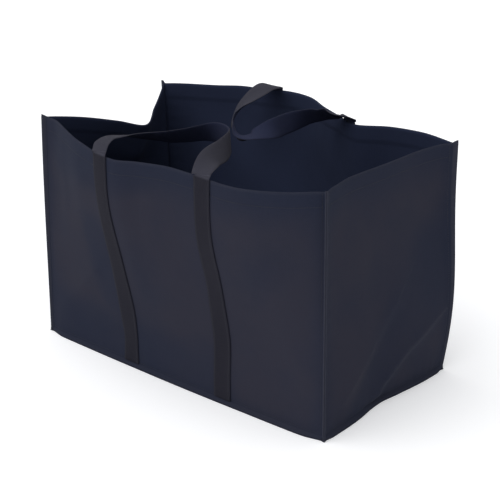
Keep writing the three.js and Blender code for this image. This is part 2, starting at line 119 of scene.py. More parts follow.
overhead_data = bpy.data.lights.new("overhead_light", "SUN")
overhead_data.energy = OVERHEAD_STRENGTH
overhead_data.angle = math.radians(OVERHEAD_SPREAD_DEG)
overhead = bpy.data.objects.new("overhead_light", overhead_data)
overhead.rotation_euler = Vector(OVERHEAD_WAY).to_track_quat("-Z", "Y").to_euler()
bpy.context.scene.collection.objects.link(overhead)
print("sky", SKY_STRENGTH, "overhead", OVERHEAD_STRENGTH)

# %% [markdown]
# ## The making sizes
# A sewn piece starts from the sizes of its cut cloth. These are the sizes of the bag, its seams,
# its hem and its webbing, all in metres.

# %% Sizes
MM = 0.001
LENGTH = 540 * MM
WIDTH = 280 * MM
HEIGHT = 350 * MM
CLOTH = 1.8 * MM
CLEARANCE = 0.3 * MM
CORNER_SEAM = 8 * MM
CORNER_SEAM_AT_FOOT = 5 * MM
SEAM_TIP_RISE = 4 * MM
TIP_RISE_POWER = 6
FOOT_SEAM = 5 * MM
FOOT_SEAM_AT_CORNER = 2.5 * MM
FOOT_SEAM_TAPER = 0.06
FOOT_SEAM_EAR = 1.5 * MM
HEM_DEPTH = 22 * MM
HEM_EXTRA = 0.9 * MM
HEM_STEP = 3 * MM
WEBBING_WIDTH = 30 * MM
WEBBING_THICKNESS = 2 * MM
STRAP_START = 1 * MM
HANDLE_CLEAR_RISE = 5 * MM
HALF_GAP = CLEARANCE / 2
FOOT_HEIGHT = CLOTH + CLEARANCE
FOOT_SEAM_TOP = FOOT_HEIGHT + FOOT_SEAM
LEG_DEPTH = HALF_GAP + CLOTH + CLEARANCE
UP = np.array([0.0, 0.0, 1.0])
print("bag", LENGTH, "by", WIDTH, "by", HEIGHT, "m")

# %% [markdown]
# ## The shape of the walls
# A loaded bag bulges where it is full and hollows beside its corner seams. A cloth simulation could
# find such a shape, but it wouldn't match one given bag, so each wall is a lofted surface: short tables
# say how far it leans at places along its rim, and smooth curves join them.

# %% Tables of the walls
def table(columns, *rows):
    """A short table, kept as one array for each named column."""
    return {name: np.array([row[k] for row in rows], float) for k, name in enumerate(columns.split())}


CORNER_COLUMNS = "side face lean_along lean_across mid_along mid_across swing_along top_seam_deg"
CORNERS = {
    "front_left": table(CORNER_COLUMNS, (-1, -1, 0.015, 0.016, -0.004, 0, 0, 225)),
    "front_right": table(CORNER_COLUMNS, (1, -1, -0.007, -0.007, 0, 0, 0, -50)),
    "back_right": table(CORNER_COLUMNS, (1, 1, 0, 0.006, 0.018, 0.011, 0.012, 40)),
    "back_left": table(CORNER_COLUMNS, (-1, 1, -0.02, -0.031, 0, 0, 0, 160)),
}
SECTION_COLUMNS = "at rim foot belly rise start full"
FRONT_SECTIONS = table(
    SECTION_COLUMNS,
    (0.0, 0.0, 0, 0, 0, 0.1, 1.0),
    (0.05, 0.016, 0.011, 0, 0, 0.1, 1.0),
    (0.12, 0.063, 0.014, 0.004, 0, 0.08, 1.0),
    (0.25, 0.141, 0.018, 0.006, 0, 0.08, 1.0),
    (0.4, 0.188, 0.020, 0.006, 0, 0.08, 1.0),
    (0.48, 0.157, 0.021, 0.006, 0, 0.1, 1.0),
    (0.57, 0.133, 0.021, 0.006, 0, 0.16, 0.97),
    (0.66, 0.133, 0.020, 0.006, 0, 0.22, 0.95),
    (0.76, 0.145, 0.018, 0.006, 0, 0.22, 0.95),
    (0.86, 0.125, 0.016, 0.004, 0, 0.2, 0.95),
    (0.94, 0.074, 0.012, 0.002, 0, 0.2, 1.0),
    (1.0, 0.0, 0, 0, 0, 0.2, 1.0),
)
RIGHT_SECTIONS = table(
    SECTION_COLUMNS,
    (0.0, 0.0, 0.0, 0.0, 0, 0, 1),
    (0.06, -0.016, -0.002, 0.0, 0, 0, 1),
    (0.2, -0.038, -0.006, 0.008, 0, 0, 1),
    (0.3, -0.041, -0.013, 0.01, 0, 0, 1),
    (0.4, -0.043, -0.026, 0.012, 0, 0, 1),
    (0.5, -0.041, -0.03, 0.013, 0, 0, 1),
    (0.62, -0.038, -0.018, 0.012, 0, 0, 1),
    (0.82, -0.038, -0.002, 0.006, 0, 0, 1),
    (0.94, -0.024, 0.0, 0.0, 0, 0, 1),
    (1.0, 0.0, 0.0, 0.0, 0, 0, 1),
)
BACK_SECTIONS = table(
    SECTION_COLUMNS,
    (0.0, 0.0, 0, 0, 0, 0.15, 1.05),
    (0.06, 0.03, 0, 0.002, 0.002, 0.15, 1.05),
    (0.12, 0.044, 0, 0.004, 0.003, 0.15, 1.05),
    (0.2, 0.034, 0, 0.006, 0.003, 0.15, 1.05),
    (0.3, -0.009, 0, 0.006, -0.006, 0.2, 1.05),
    (0.37, 0.038, 0, 0.006, 0.002, 0.15, 1.05),
    (0.45, 0.102, 0, 0.008, 0.015, 0.15, 1.05),
    (0.53, 0.167, 0, 0.008, 0.036, 0.15, 1.05),
    (0.61, 0.189, 0, 0.008, 0.043, 0.15, 1.05),
    (0.7, 0.174, 0, 0.008, 0.033, 0.15, 1.05),
    (0.78, 0.162, 0, 0.006, 0.027, 0.15, 1.05),
    (0.86, 0.124, 0, 0.004, 0.011, 0.15, 1.05),
    (0.94, 0.074, 0, 0.002, 0.001, 0.15, 1.05),
    (1.0, 0.0, 0, 0, 0, 0.15, 1.05),
)
LEFT_SECTIONS = table(
    SECTION_COLUMNS,
    (0.0, 0.0, 0, 0.0, 0, 0.3, 1),
    (0.05, -0.01, 0, 0.01, -0.04, 0.3, 1),
    (0.2, -0.075, 0, 0.05, -0.07, 0.3, 1),
    (0.38, -0.145, 0, 0.1, -0.095, 0.3, 1),
    (0.58, -0.105, 0, 0.09, -0.06, 0.3, 1),
    (0.8, -0.045, 0, 0.045, -0.025, 0.3, 1),
    (1.0, 0.0, 0, 0.0, 0, 0.3, 1),
)
LEG_COLUMNS = "foot rim"
FRONT_LEGS = table(LEG_COLUMNS, (0.343, 0.352), (0.68, 0.689))
BACK_LEGS = table(LEG_COLUMNS, (0.325, 0.33), (0.668, 0.672))

# %% [markdown]
# ## The folds
# Canvas creases where it is pushed back, and the creases stay. A fold is drawn as a ridge line over
# the wall, with a width above and below it, a depth and a sharpness: 2 is a soft roll and 1 is a
# pressed crease. A shade band is a stretch of wall, mostly in the hollow of a fold or low along the
# foot, that is painted in the deeper colour as painted shade.

# %% Tables of the folds
FOLD_COLUMNS = "from_at from_up to_at to_up above below depth sharpness"
RIGHT_FOLDS = table(
    FOLD_COLUMNS,
    (0.44, 0.03, 0.51, 0.112, 0.06, 0.035, 0.024, 1.0),
    (0.51, 0.112, 0.63, 0.202, 0.06, 0.035, 0.032, 1.0),
    (0.63, 0.202, 0.98, 0.295, 0.07, 0.035, 0.034, 1.0),
    (0.15, 0.13, 0.36, 0.285, 0.11, 0.035, 0.02, 1.2),
    (0.36, 0.285, 0.55, 0.43, 0.11, 0.045, 0.014, 1.3),
    (0.96, 0.46, 0.99, 0.36, 0.05, 0.05, 0.012, 2.0),
)
LEFT_FOLDS = table(
    FOLD_COLUMNS,
    (0.38, 0.8, 0.33, 0.4, 0.09, 0.09, -0.03, 1.5),
)
FRONT_FOLDS = table(
    FOLD_COLUMNS,
    (0.965, 0.9, 0.965, 0.35, 0.045, 0.045, -0.017, 2.0),
    (0.91, 0.8, 0.93, 0.3, 0.06, 0.06, 0.008, 2.0),
    (0.03, 0.12, 0.23, 0.4, 0.07, 0.045, 0.015, 1.3),
    (0.22, 0.85, 0.17, 0.5, 0.08, 0.08, 0.008, 2.0),
    (0.05, 0.07, 0.3, 0.12, 0.08, 0.08, -0.009, 2.0),
    (0.5, 0.8, 0.53, 0.3, 0.12, 0.12, 0.008, 2.0),
)
BACK_FOLDS = table(
    FOLD_COLUMNS,
    (0.1, 0.15, 0.2, 0.4, 0.08, 0.06, 0.008, 1.6),
    (0.9, 0.7, 0.86, 0.3, 0.09, 0.09, -0.008, 2.0),
    (0.5, 0.7, 0.47, 0.25, 0.12, 0.12, 0.008, 2.0),
)
BAND_COLUMNS = "from_at from_up to_at to_up width"
# Painted shade: bands painted in the deeper colour where folds and the foot lie in shade.
SHADE_BANDS = {
    "front": table(
        BAND_COLUMNS,
        (0.02, 0.1, 0.6, 0.06, 0.16),
        (0.1, 0.9, 0.45, 0.97, 0.1),
        (0.3, 0.3, 0.27, 0.6, 0.09),
    ),
    "right": table(BAND_COLUMNS, (0.34, 0.02, 0.62, 0.3, 0.11), (0.62, 0.3, 0.9, 0.55, 0.17)),
    "back": table(BAND_COLUMNS, (0.1, 0.1, 0.7, 0.12, 0.14)),
    "left": table(BAND_COLUMNS, (0.3, 0.1, 0.6, 0.5, 0.14)),
}
SIDES = {
    "front": dict(corners=("front_left", "front_right"), sections=FRONT_SECTIONS, folds=FRONT_FOLDS,
                  legs=FRONT_LEGS, columns=150, seed=3, run=LENGTH),
    "right": dict(corners=("front_right", "back_right"), sections=RIGHT_SECTIONS, folds=RIGHT_FOLDS,
                  legs=None, columns=140, seed=11, run=WIDTH),
    "back": dict(corners=("back_right", "back_left"), sections=BACK_SECTIONS, folds=BACK_FOLDS,
                 legs=BACK_LEGS, columns=150, seed=23, run=LENGTH),
    "left": dict(corners=("back_left", "front_left"), sections=LEFT_SECTIONS, folds=LEFT_FOLDS,
                 legs=None, columns=88, seed=37, run=WIDTH),
}
print({name: len(side["folds"]["depth"]) for name, side in SIDES.items()}, "folds")

# %% [markdown]
# ## Helpers for curves and directions
# The walls are worked out for whole grids of points at once, which is quick and keeps the steps short.

# %% Curves and directions
def smooth(share):
    held = np.clip(share, 0.0, 1.0)
    return held * held * (3 - 2 * held)


def mix(a, b, share):
    return a + (b - a) * share


def unit(vectors):
    return vectors / np.maximum(np.linalg.norm(vectors, axis=-1, keepdims=True), 1e-12)


def table_value(rows, at, column):
    """Smooth values between the rows of a table, from its named column."""
    x, y = rows["at"], rows[column]
    last = len(x) - 1
    row = np.clip(np.searchsorted(x, at, side="left") - 1, 0, last - 1)
    before, after = np.maximum(np.arange(last + 1) - 1, 0), np.minimum(np.arange(last + 1) + 1, last)
    slope = (y[after] - y[before]) / (x[after] - x[before])
    span = x[row + 1] - x[row]
    t = (at - x[row]) / span
    t2, t3 = t * t, t * t * t
    return ((2 * t3 - 3 * t2 + 1) * y[row] + (t3 - 2 * t2 + t) * span * slope[row]
            + (3 * t2 - 2 * t3) * y[row + 1] + (t3 - t2) * span * slope[row + 1])


def corner_point(name, up):
    """A corner seam's root at shares of the height."""
    corner = CORNERS[name]
    middle = np.sin(math.pi * up)
    swing = corner["swing_along"][0] * np.sin(2 * math.pi * up)
    along = corner["lean_along"][0] * up + corner["mid_along"][0] * middle + swing
    across = corner["lean_across"][0] * up + corner["mid_across"][0] * middle
    x = corner["side"][0] * LENGTH / 2 + HEIGHT * along
    y = corner["face"][0] * WIDTH / 2 + HEIGHT * across
    return np.stack(np.broadcast_arrays(x, y, HEIGHT * up), axis=-1)


def seam_tip(name, up):
    """The tip of a corner seam, which stands a little higher at the rim."""
    corner = CORNERS[name]
    foot = unit(np.array([corner["side"][0], corner["face"][0], 0.0]))
    turn = math.radians(corner["top_seam_deg"][0])
    top = np.array([math.cos(turn), math.sin(turn), 0.0])
    way = unit(mix(foot, top, up[..., None]))
    width = mix(CORNER_SEAM_AT_FOOT, CORNER_SEAM, smooth(up))
    tip = corner_point(name, up) + way * width[..., None]
    tip[..., 2] += SEAM_TIP_RISE * up ** TIP_RISE_POWER
    return tip


def foot_corner(name, out):
    """A point out from a corner at the foot, along its diagonal."""
    corner = CORNERS[name]
    point = corner_point(name, np.array(FOOT_SEAM_TOP / HEIGHT))
    return np.array([point[0] + corner["side"][0] * out, point[1] + corner["face"][0] * out, FOOT_HEIGHT])


# %% [markdown]
# ## Small wrinkles
# Between its main folds heavy cloth is never quite flat. It ripples along every seam, where thread has
# drawn it up, and it waves gently elsewhere. A few sine waves of different lengths with fixed turns
# do this, and they fade out where the cloth is held, so that neighbouring pieces stay clear.

# %% Wrinkles and puckers
WAVES = 7
WAVE_LENGTHS = (60 * MM, 170 * MM)
WAVE_HEIGHT = 0.8 * MM
PUCKER_HEIGHT = 0.45 * MM
PUCKER_LENGTH = 19 * MM
PUCKER_REACH = 13 * MM
PUCKER_START = 10 * MM
CORNER_PUCKER_START = 20 * MM
CORNER_DRIFT = (1.3, 31 * MM)
FOOT_DRIFT = (1.7, 43 * MM)
HELD_REACH = 30 * MM
FOLD_SIDE_CHANGE = 6 * MM
FOLD_FOOT_FADE = (14 * MM, 0.15)
FOLD_ROUND = 1.1 * MM
CREASE_HIGHLIGHT_WIDTH = 2.2 * MM
BLEND = 6


def waves(seed, along, high):
    """A gentle uneven surface made from seven waves whose ways and lengths are drawn with a fixed seed."""
    draw = np.random.default_rng(seed)
    total = np.zeros_like(along)
    turns = draw.uniform(0, math.pi, WAVES)
    lengths = draw.uniform(*WAVE_LENGTHS, WAVES)
    starts = draw.uniform(0, 6.3, WAVES)
    for turn, length, start in zip(turns, lengths, starts):
        total += np.sin((along * math.cos(turn) + high * math.sin(turn)) * 2 * math.pi / length + start)
    return total / 3


def wrinkles(side, share, up):
    along, high = share * side["run"], up * HEIGHT
    to_corner = np.minimum(along, side["run"] - along)
    to_foot = np.maximum(high - FOOT_SEAM_TOP, 0.0)
    held = smooth(to_corner / HELD_REACH) * smooth(to_foot / HELD_REACH)
    height = WAVE_HEIGHT * held * waves(side["seed"], along, high)
    corner_drift = CORNER_DRIFT[0] * np.sin(high / CORNER_DRIFT[1] + side["seed"])
    foot_drift = FOOT_DRIFT[0] * np.sin(along / FOOT_DRIFT[1])
    corner_pucker = np.sin(2 * math.pi * high / PUCKER_LENGTH + corner_drift)
    foot_pucker = np.sin(2 * math.pi * along / PUCKER_LENGTH + foot_drift)
    corner_pucker *= np.exp(-to_corner / PUCKER_REACH)
    foot_pucker *= np.exp(-to_foot / PUCKER_REACH)
    corner_pucker *= smooth(to_corner / PUCKER_START) * smooth(to_foot / CORNER_PUCKER_START)
    foot_pucker *= smooth(to_foot / PUCKER_START) * smooth(to_corner / HELD_REACH)
    return height + PUCKER_HEIGHT * (corner_pucker + foot_pucker)


def from_line(lines, k, share, up, run):
    """How far points of a wall lie from one line of a table, and how far above it."""
    dx = (lines["to_at"][k] - lines["from_at"][k]) * run
    dz = (lines["to_up"][k] - lines["from_up"][k]) * HEIGHT
    px = (share - lines["from_at"][k]) * run
    pz = (up - lines["from_up"][k]) * HEIGHT
    t = np.clip((px * dx + pz * dz) / (dx * dx + dz * dz), 0, 1)
    return np.sqrt((px - t * dx) ** 2 + (pz - t * dz) ** 2), (pz * dx - px * dz) / np.sqrt(dx * dx + dz * dz)


def fold_height(folds, share, up, run):
    """How far the folds push the cloth out. Where ridges meet they blend and don't pile up."""
    ridges = np.zeros_like(share)
    hollows = np.zeros_like(share)
    for k in range(len(folds["depth"])):
        away, above = from_line(folds, k, share, up, run)
        width = mix(folds["below"][k], folds["above"][k], smooth(above / FOLD_SIDE_CHANGE + 0.5)) * HEIGHT
        shape = np.exp(-(np.hypot(away, FOLD_ROUND) / width) ** folds["sharpness"][k])
        push = (np.abs(folds["depth"][k]) * HEIGHT * shape) ** BLEND
        if folds["depth"][k] > 0:
            ridges += push
        else:
            hollows += push
    height = ridges ** (1 / BLEND) - hollows ** (1 / BLEND)
    return height * smooth((up * HEIGHT - FOOT_SEAM_TOP) / FOLD_FOOT_FADE[0] + FOLD_FOOT_FADE[1])


def crease_highlight(folds, share, up, run):
    """Pressed creases are painted pale along their ridges: painted highlight where a ridge catches the light,
    and wear.
    """
    wear = np.zeros_like(share)
    for k in range(len(folds["depth"])):
        if folds["sharpness"][k] <= 1:
            away, above = from_line(folds, k, share, up, run)
            wear = np.maximum(wear, np.exp(-(away / CREASE_HIGHLIGHT_WIDTH) ** 2))
    return wear


# How far each point lies inside a painted shade band.
def shade_band_share(bands, share, up, run):
    shade_share = np.zeros_like(share)
    for k in range(len(bands["width"])):
        away, above = from_line(bands, k, share, up, run)
        shade_share = np.maximum(shade_share, smooth(1.5 - away / (bands["width"][k] * HEIGHT)))
    return shade_share


# %% [markdown]
# ## A point on a wall
# Every piece that is sewn to a wall, the webbing and the thread too, asks this one function where the
# cloth is. That keeps them lying on the cloth wherever it bulges or folds.

# %% The cloth's surface
# How cloth that curves out by smooth() sinks as it keeps its length: the running sum of its squared slope.
SINK_CUBE, SINK_FOURTH, SINK_FIFTH = 12, 18, 7.2
NORMAL_STEP = 0.002


def side_points(side, share, up):
    """Points of a wall's inner line, by shares of its length and height. Cloth that leans out keeps its
    length, so its rim sinks by what the lean takes up."""
    share, up = np.broadcast_arrays(np.asarray(share, float), np.asarray(up, float))
    start, end = (corner_point(name, up) for name in side["corners"])
    point = mix(start, end, share[..., None])
    outward = unit(np.cross(end - start, UP))
    value = {name: table_value(side["sections"], share, name) for name in side["sections"] if name != "at"}
    span = value["full"] - value["start"]
    q = np.clip((up - value["start"]) / span, 0, 1)
    sink = value["rim"] ** 2 / (2 * span) * (SINK_CUBE * q ** 3 - SINK_FOURTH * q ** 4 + SINK_FIFTH * q ** 5)
    foot = value["foot"] * (1 - smooth(up))
    out = HEIGHT * (value["rim"] * smooth(q) + foot + value["belly"] * np.sin(math.pi * up))
    run = np.linalg.norm(end - start, axis=-1)
    hold = np.sin(math.pi * np.minimum(np.minimum(share, 1 - share), 0.5))
    out = out + fold_height(side["folds"], share, up, run) * hold + wrinkles(side, share, up)
    point = point + outward * out[..., None]
    point[..., 2] += HEIGHT * (value["rise"] * up * up - sink)
    return point


def side_normals(side, share, up):
    along = side_points(side, share + NORMAL_STEP, up) - side_points(side, share - NORMAL_STEP, up)
    high = side_points(side, share, up + NORMAL_STEP) - side_points(side, share, up - NORMAL_STEP)
    return unit(np.cross(along, high))


def leg_share(side, leg, up, offset=0.0):
    """Where a webbing leg runs, as a share of the wall's length, with an offset across the webbing."""
    return mix(side["legs"]["foot"][leg], side["legs"]["rim"][leg], up) + offset / LENGTH


# %% [markdown]
# ## The wall grids
# The grid's first and last columns fold out as the corner seams, and its first rows fold out as the foot
# seam. The two layers of a seam lie back to back with a hair's gap, so each grid is moved out by steps
# that are mitred at the folds, as a tailor would trim them.

# %% Grids and mitred steps
WALL_ROWS = 100
HEM_ROWS = 7
NEARBY_SHARE = 0.01
FLAT_MITRE = 0.001
SEAM_COLUMNS = 3
FOOT_ROWS = 3


def wall_rows():
    low = FOOT_SEAM_TOP / HEIGHT
    hem_low = 1 - (HEM_DEPTH + HEM_STEP) / HEIGHT
    hem_high = 1 - HEM_DEPTH / HEIGHT
    return np.concatenate([np.linspace(low, hem_low, WALL_ROWS), np.linspace(hem_high, 1, HEM_ROWS)])


def wall_grid(side):
    """Points over a wall and its turned seams, with the flat place of each for the weave."""
    rows = wall_rows()
    shares = np.linspace(0, 1, side["columns"] + 1)
    middle = side_points(side, shares[None, :], rows[:, None])
    first, last = side["corners"]
    steps = np.arange(SEAM_COLUMNS)[None, :, None] / SEAM_COLUMNS
    left = mix(seam_tip(first, rows)[:, None, :], middle[:, :1, :], steps)
    right = mix(middle[:, -1:, :], seam_tip(last, rows)[:, None, :], steps + 1 / SEAM_COLUMNS)
    wall = np.concatenate([left, middle, right], axis=1)
    foot = middle[0].copy()
    ahead = side_points(side, np.minimum(shares + NEARBY_SHARE, 1), rows[0])
    behind = side_points(side, np.maximum(shares - NEARBY_SHARE, 0), rows[0])
    way = ahead - behind
    way[:, 2] = 0
    taper = smooth(np.minimum(shares, 1 - shares) / FOOT_SEAM_TAPER)
    foot += unit(np.cross(way, UP)) * mix(FOOT_SEAM_AT_CORNER, FOOT_SEAM, taper)[:, None]
    foot[:, 2] = FOOT_HEIGHT
    foot[0], foot[-1] = foot_corner(first, FOOT_SEAM_AT_CORNER), foot_corner(last, FOOT_SEAM_AT_CORNER)
    ear = FOOT_SEAM_AT_CORNER + FOOT_SEAM_EAR
    flat_steps = steps[0]
    foot = np.concatenate([
        mix(foot_corner(first, ear), foot[:1], flat_steps), foot,
        mix(foot[-1:], foot_corner(last, ear), flat_steps + 1 / SEAM_COLUMNS),
    ])
    under = mix(foot[None], wall[:1], np.arange(FOOT_ROWS)[:, None, None] / FOOT_ROWS)
    grid = np.concatenate([under, wall])
    across = np.concatenate([[0], np.cumsum(np.linalg.norm(np.diff(grid[len(grid) // 2], axis=0), axis=1))])
    centre = grid[:, grid.shape[1] // 2]
    along = np.concatenate([[0], np.cumsum(np.linalg.norm(np.diff(centre, axis=0), axis=1))])
    flat = np.stack(np.meshgrid(across, along), axis=-1)
    return grid, flat


def mitre_steps(grid):
    """The outward step at each grid point that moves every face beside it out by one metre."""
    face = unit(np.cross(grid[1:, 1:] - grid[:-1, :-1], grid[1:, :-1] - grid[:-1, 1:]))
    total = np.zeros(grid.shape)
    square = np.zeros(grid.shape + (3,))
    outer = face[..., :, None] * face[..., None, :]
    for r, c in ((slice(None, -1), slice(None, -1)), (slice(None, -1), slice(1, None)),
                 (slice(1, None), slice(1, None)), (slice(1, None), slice(None, -1))):
        total[r, c] += face
        square[r, c] += outer
    return np.linalg.solve(square + FLAT_MITRE * np.eye(3), total[..., None])[..., 0]


# %% [markdown]
# ## From a grid to cloth
# A Solidify modifier could give the grid its thickness, but it can't thicken only the hem or keep the
# seam layers apart. So both faces are made here, and a rounded edge is turned round the outside.

# %% Two faces and a rounded edge
EDGE_ROUND = 0.42


def border(rows, columns):
    """The grid places round the edge, in order."""
    return ([(0, c) for c in range(columns - 1)] + [(r, columns - 1) for r in range(rows - 1)]
            + [(rows - 1, c) for c in range(columns - 1, 0, -1)] + [(r, 0) for r in range(rows - 1, 0, -1)])


def cloth_piece(name, grid, flat, inner, outer, material, tints, within):
    """A closed sheet between two faces of a grid. flat is kept as its UV map, and tints as attributes.
    within says where its inner face is the inside of the bag, which takes a painted colour for the shade and
    bounce light there."""
    rows, columns = grid.shape[:2]
    index = np.arange(rows * columns).reshape(rows, columns)
    ring = border(rows, columns)
    away = []
    for r, c in ring:
        neighbour = grid[min(max(r, 1), rows - 2), min(max(c, 1), columns - 2)]
        away.append(unit(grid[r, c] - neighbour))
    ring_r, ring_c = (np.array(part) for part in zip(*ring))
    thickness = np.linalg.norm(outer[ring_r, ring_c] - inner[ring_r, ring_c], axis=-1, keepdims=True)
    edge = (outer[ring_r, ring_c] + inner[ring_r, ring_c]) / 2 + np.array(away) * thickness * EDGE_ROUND
    vertices = np.concatenate([outer.reshape(-1, 3), inner.reshape(-1, 3), edge])
    a, b, c, d = index[:-1, :-1], index[:-1, 1:], index[1:, 1:], index[1:, :-1]
    count = rows * columns
    outside = np.stack([a, b, c, d], axis=-1).reshape(-1, 4)
    faces = np.concatenate([outside, outside[:, ::-1] + count]).tolist()
    ring_index = index[ring_r, ring_c]
    for k in range(len(ring)):
        n = (k + 1) % len(ring)
        p, q, u, v = ring_index[k], ring_index[n], 2 * count + k, 2 * count + n
        faces.append([q, p, u, v])
        faces.append([v, u, p + count, q + count])
    piece = mesh_piece(name, vertices, faces, material)
    flat_all = np.concatenate([flat.reshape(-1, 2)] * 2 + [flat[ring_r, ring_c]])
    corner_vertex = np.empty(len(piece.data.loops), int)
    piece.data.loops.foreach_get("vertex_index", corner_vertex)
    layer = piece.data.uv_layers.new(name="weave")
    layer.data.foreach_set("uv", flat_all[corner_vertex].ravel())
    for tint, values in tints.items():
        attribute = piece.data.attributes.new(tint, "FLOAT", "POINT")
        attribute.data.foreach_set("value", np.concatenate([values.ravel()] * 2 + [values[ring_r, ring_c]]))
    painted_inner_light = piece.data.attributes.new("painted_inner_light", "FLOAT", "POINT")
    painted_inner_light.data.foreach_set("value", np.concatenate([np.zeros(count), within.ravel(), np.zeros(len(ring))]))
    piece.data.polygons.foreach_set("use_smooth", np.ones(len(piece.data.polygons), bool))
    piece.data.update()
    return piece


# %% [markdown]
# ## The canvas finish
# Heavy cotton canvas is a plain weave, one yarn over and one under, about a millimetre apart. It is
# dyed a dark navy grey and it never shines. Its colour is painted paler along seams, rim and creases, as
# wear and painted highlight, and deeper where the walls lie in shade, as painted shade, and its inner face
# is painted bluer for the shade and bounce light inside the bag. The weave is two crossed waves on the
# cloth's own flat map, so it follows every fold, and the colour drifts with noise.

# %% Canvas
YARN = 1.05 * MM
# The deep colour is painted shade near corners, rim and foot; the middle colour is the lit cloth.
CANVAS_DEEP = (0.0178, 0.0215, 0.0385, 1.0)
CANVAS_MIDDLE = (0.0262, 0.0266, 0.0405, 1.0)
# Paler colour for seams, rim and creases: wear and painted highlight.
CANVAS_RUBBED_AND_LIT = (0.050, 0.051, 0.066, 1.0)
# Painted light: the inner face inside the bag takes this bluer colour for the shade and bounce light there.
CANVAS_INNER_PAINTED_LIGHT = (0.0240, 0.0310, 0.0620, 1.0)
BLOTCHES_PER_METRE = 16.0
DRIFTS_PER_METRE = 7.0
YARN_SHADE = 0.09
YARN_MIDDLE = 0.92


def node(tree, kind, place, **values):
    made = tree.nodes.new(kind)
    made.location = place
    for key, value in values.items():
        setattr(made, key, value)
    return made


def maths(tree, operation, place, *sources):
    made = node(tree, "ShaderNodeMath", place, operation=operation)
    for k, source in enumerate(sources):
        if isinstance(source, (int, float)):
            made.inputs[k].default_value = source
        else:
            tree.links.new(source, made.inputs[k])
    return made.outputs[0]


def colour_mix(tree, place, factor, first, second):
    made = node(tree, "ShaderNodeMix", place, data_type="RGBA")
    for socket, source in ((made.inputs[0], factor), (made.inputs[6], first), (made.inputs[7], second)):
        if isinstance(source, (tuple, float)):
            socket.default_value = source
        else:
            tree.links.new(source, socket)
    return made.outputs[2]


def noise(tree, place, vector, scale, detail):
    made = node(tree, "ShaderNodeTexNoise", place)
    made.inputs["Scale"].default_value = scale
    made.inputs["Detail"].default_value = detail
    tree.links.new(vector, made.inputs["Vector"])
    return made.outputs["Fac"]


def stretched(tree, place, vector, scale):
    made = node(tree, "ShaderNodeMapping", place)
    made.inputs["Scale"].default_value = scale
    tree.links.new(vector, made.inputs["Vector"])
    return made.outputs["Vector"]


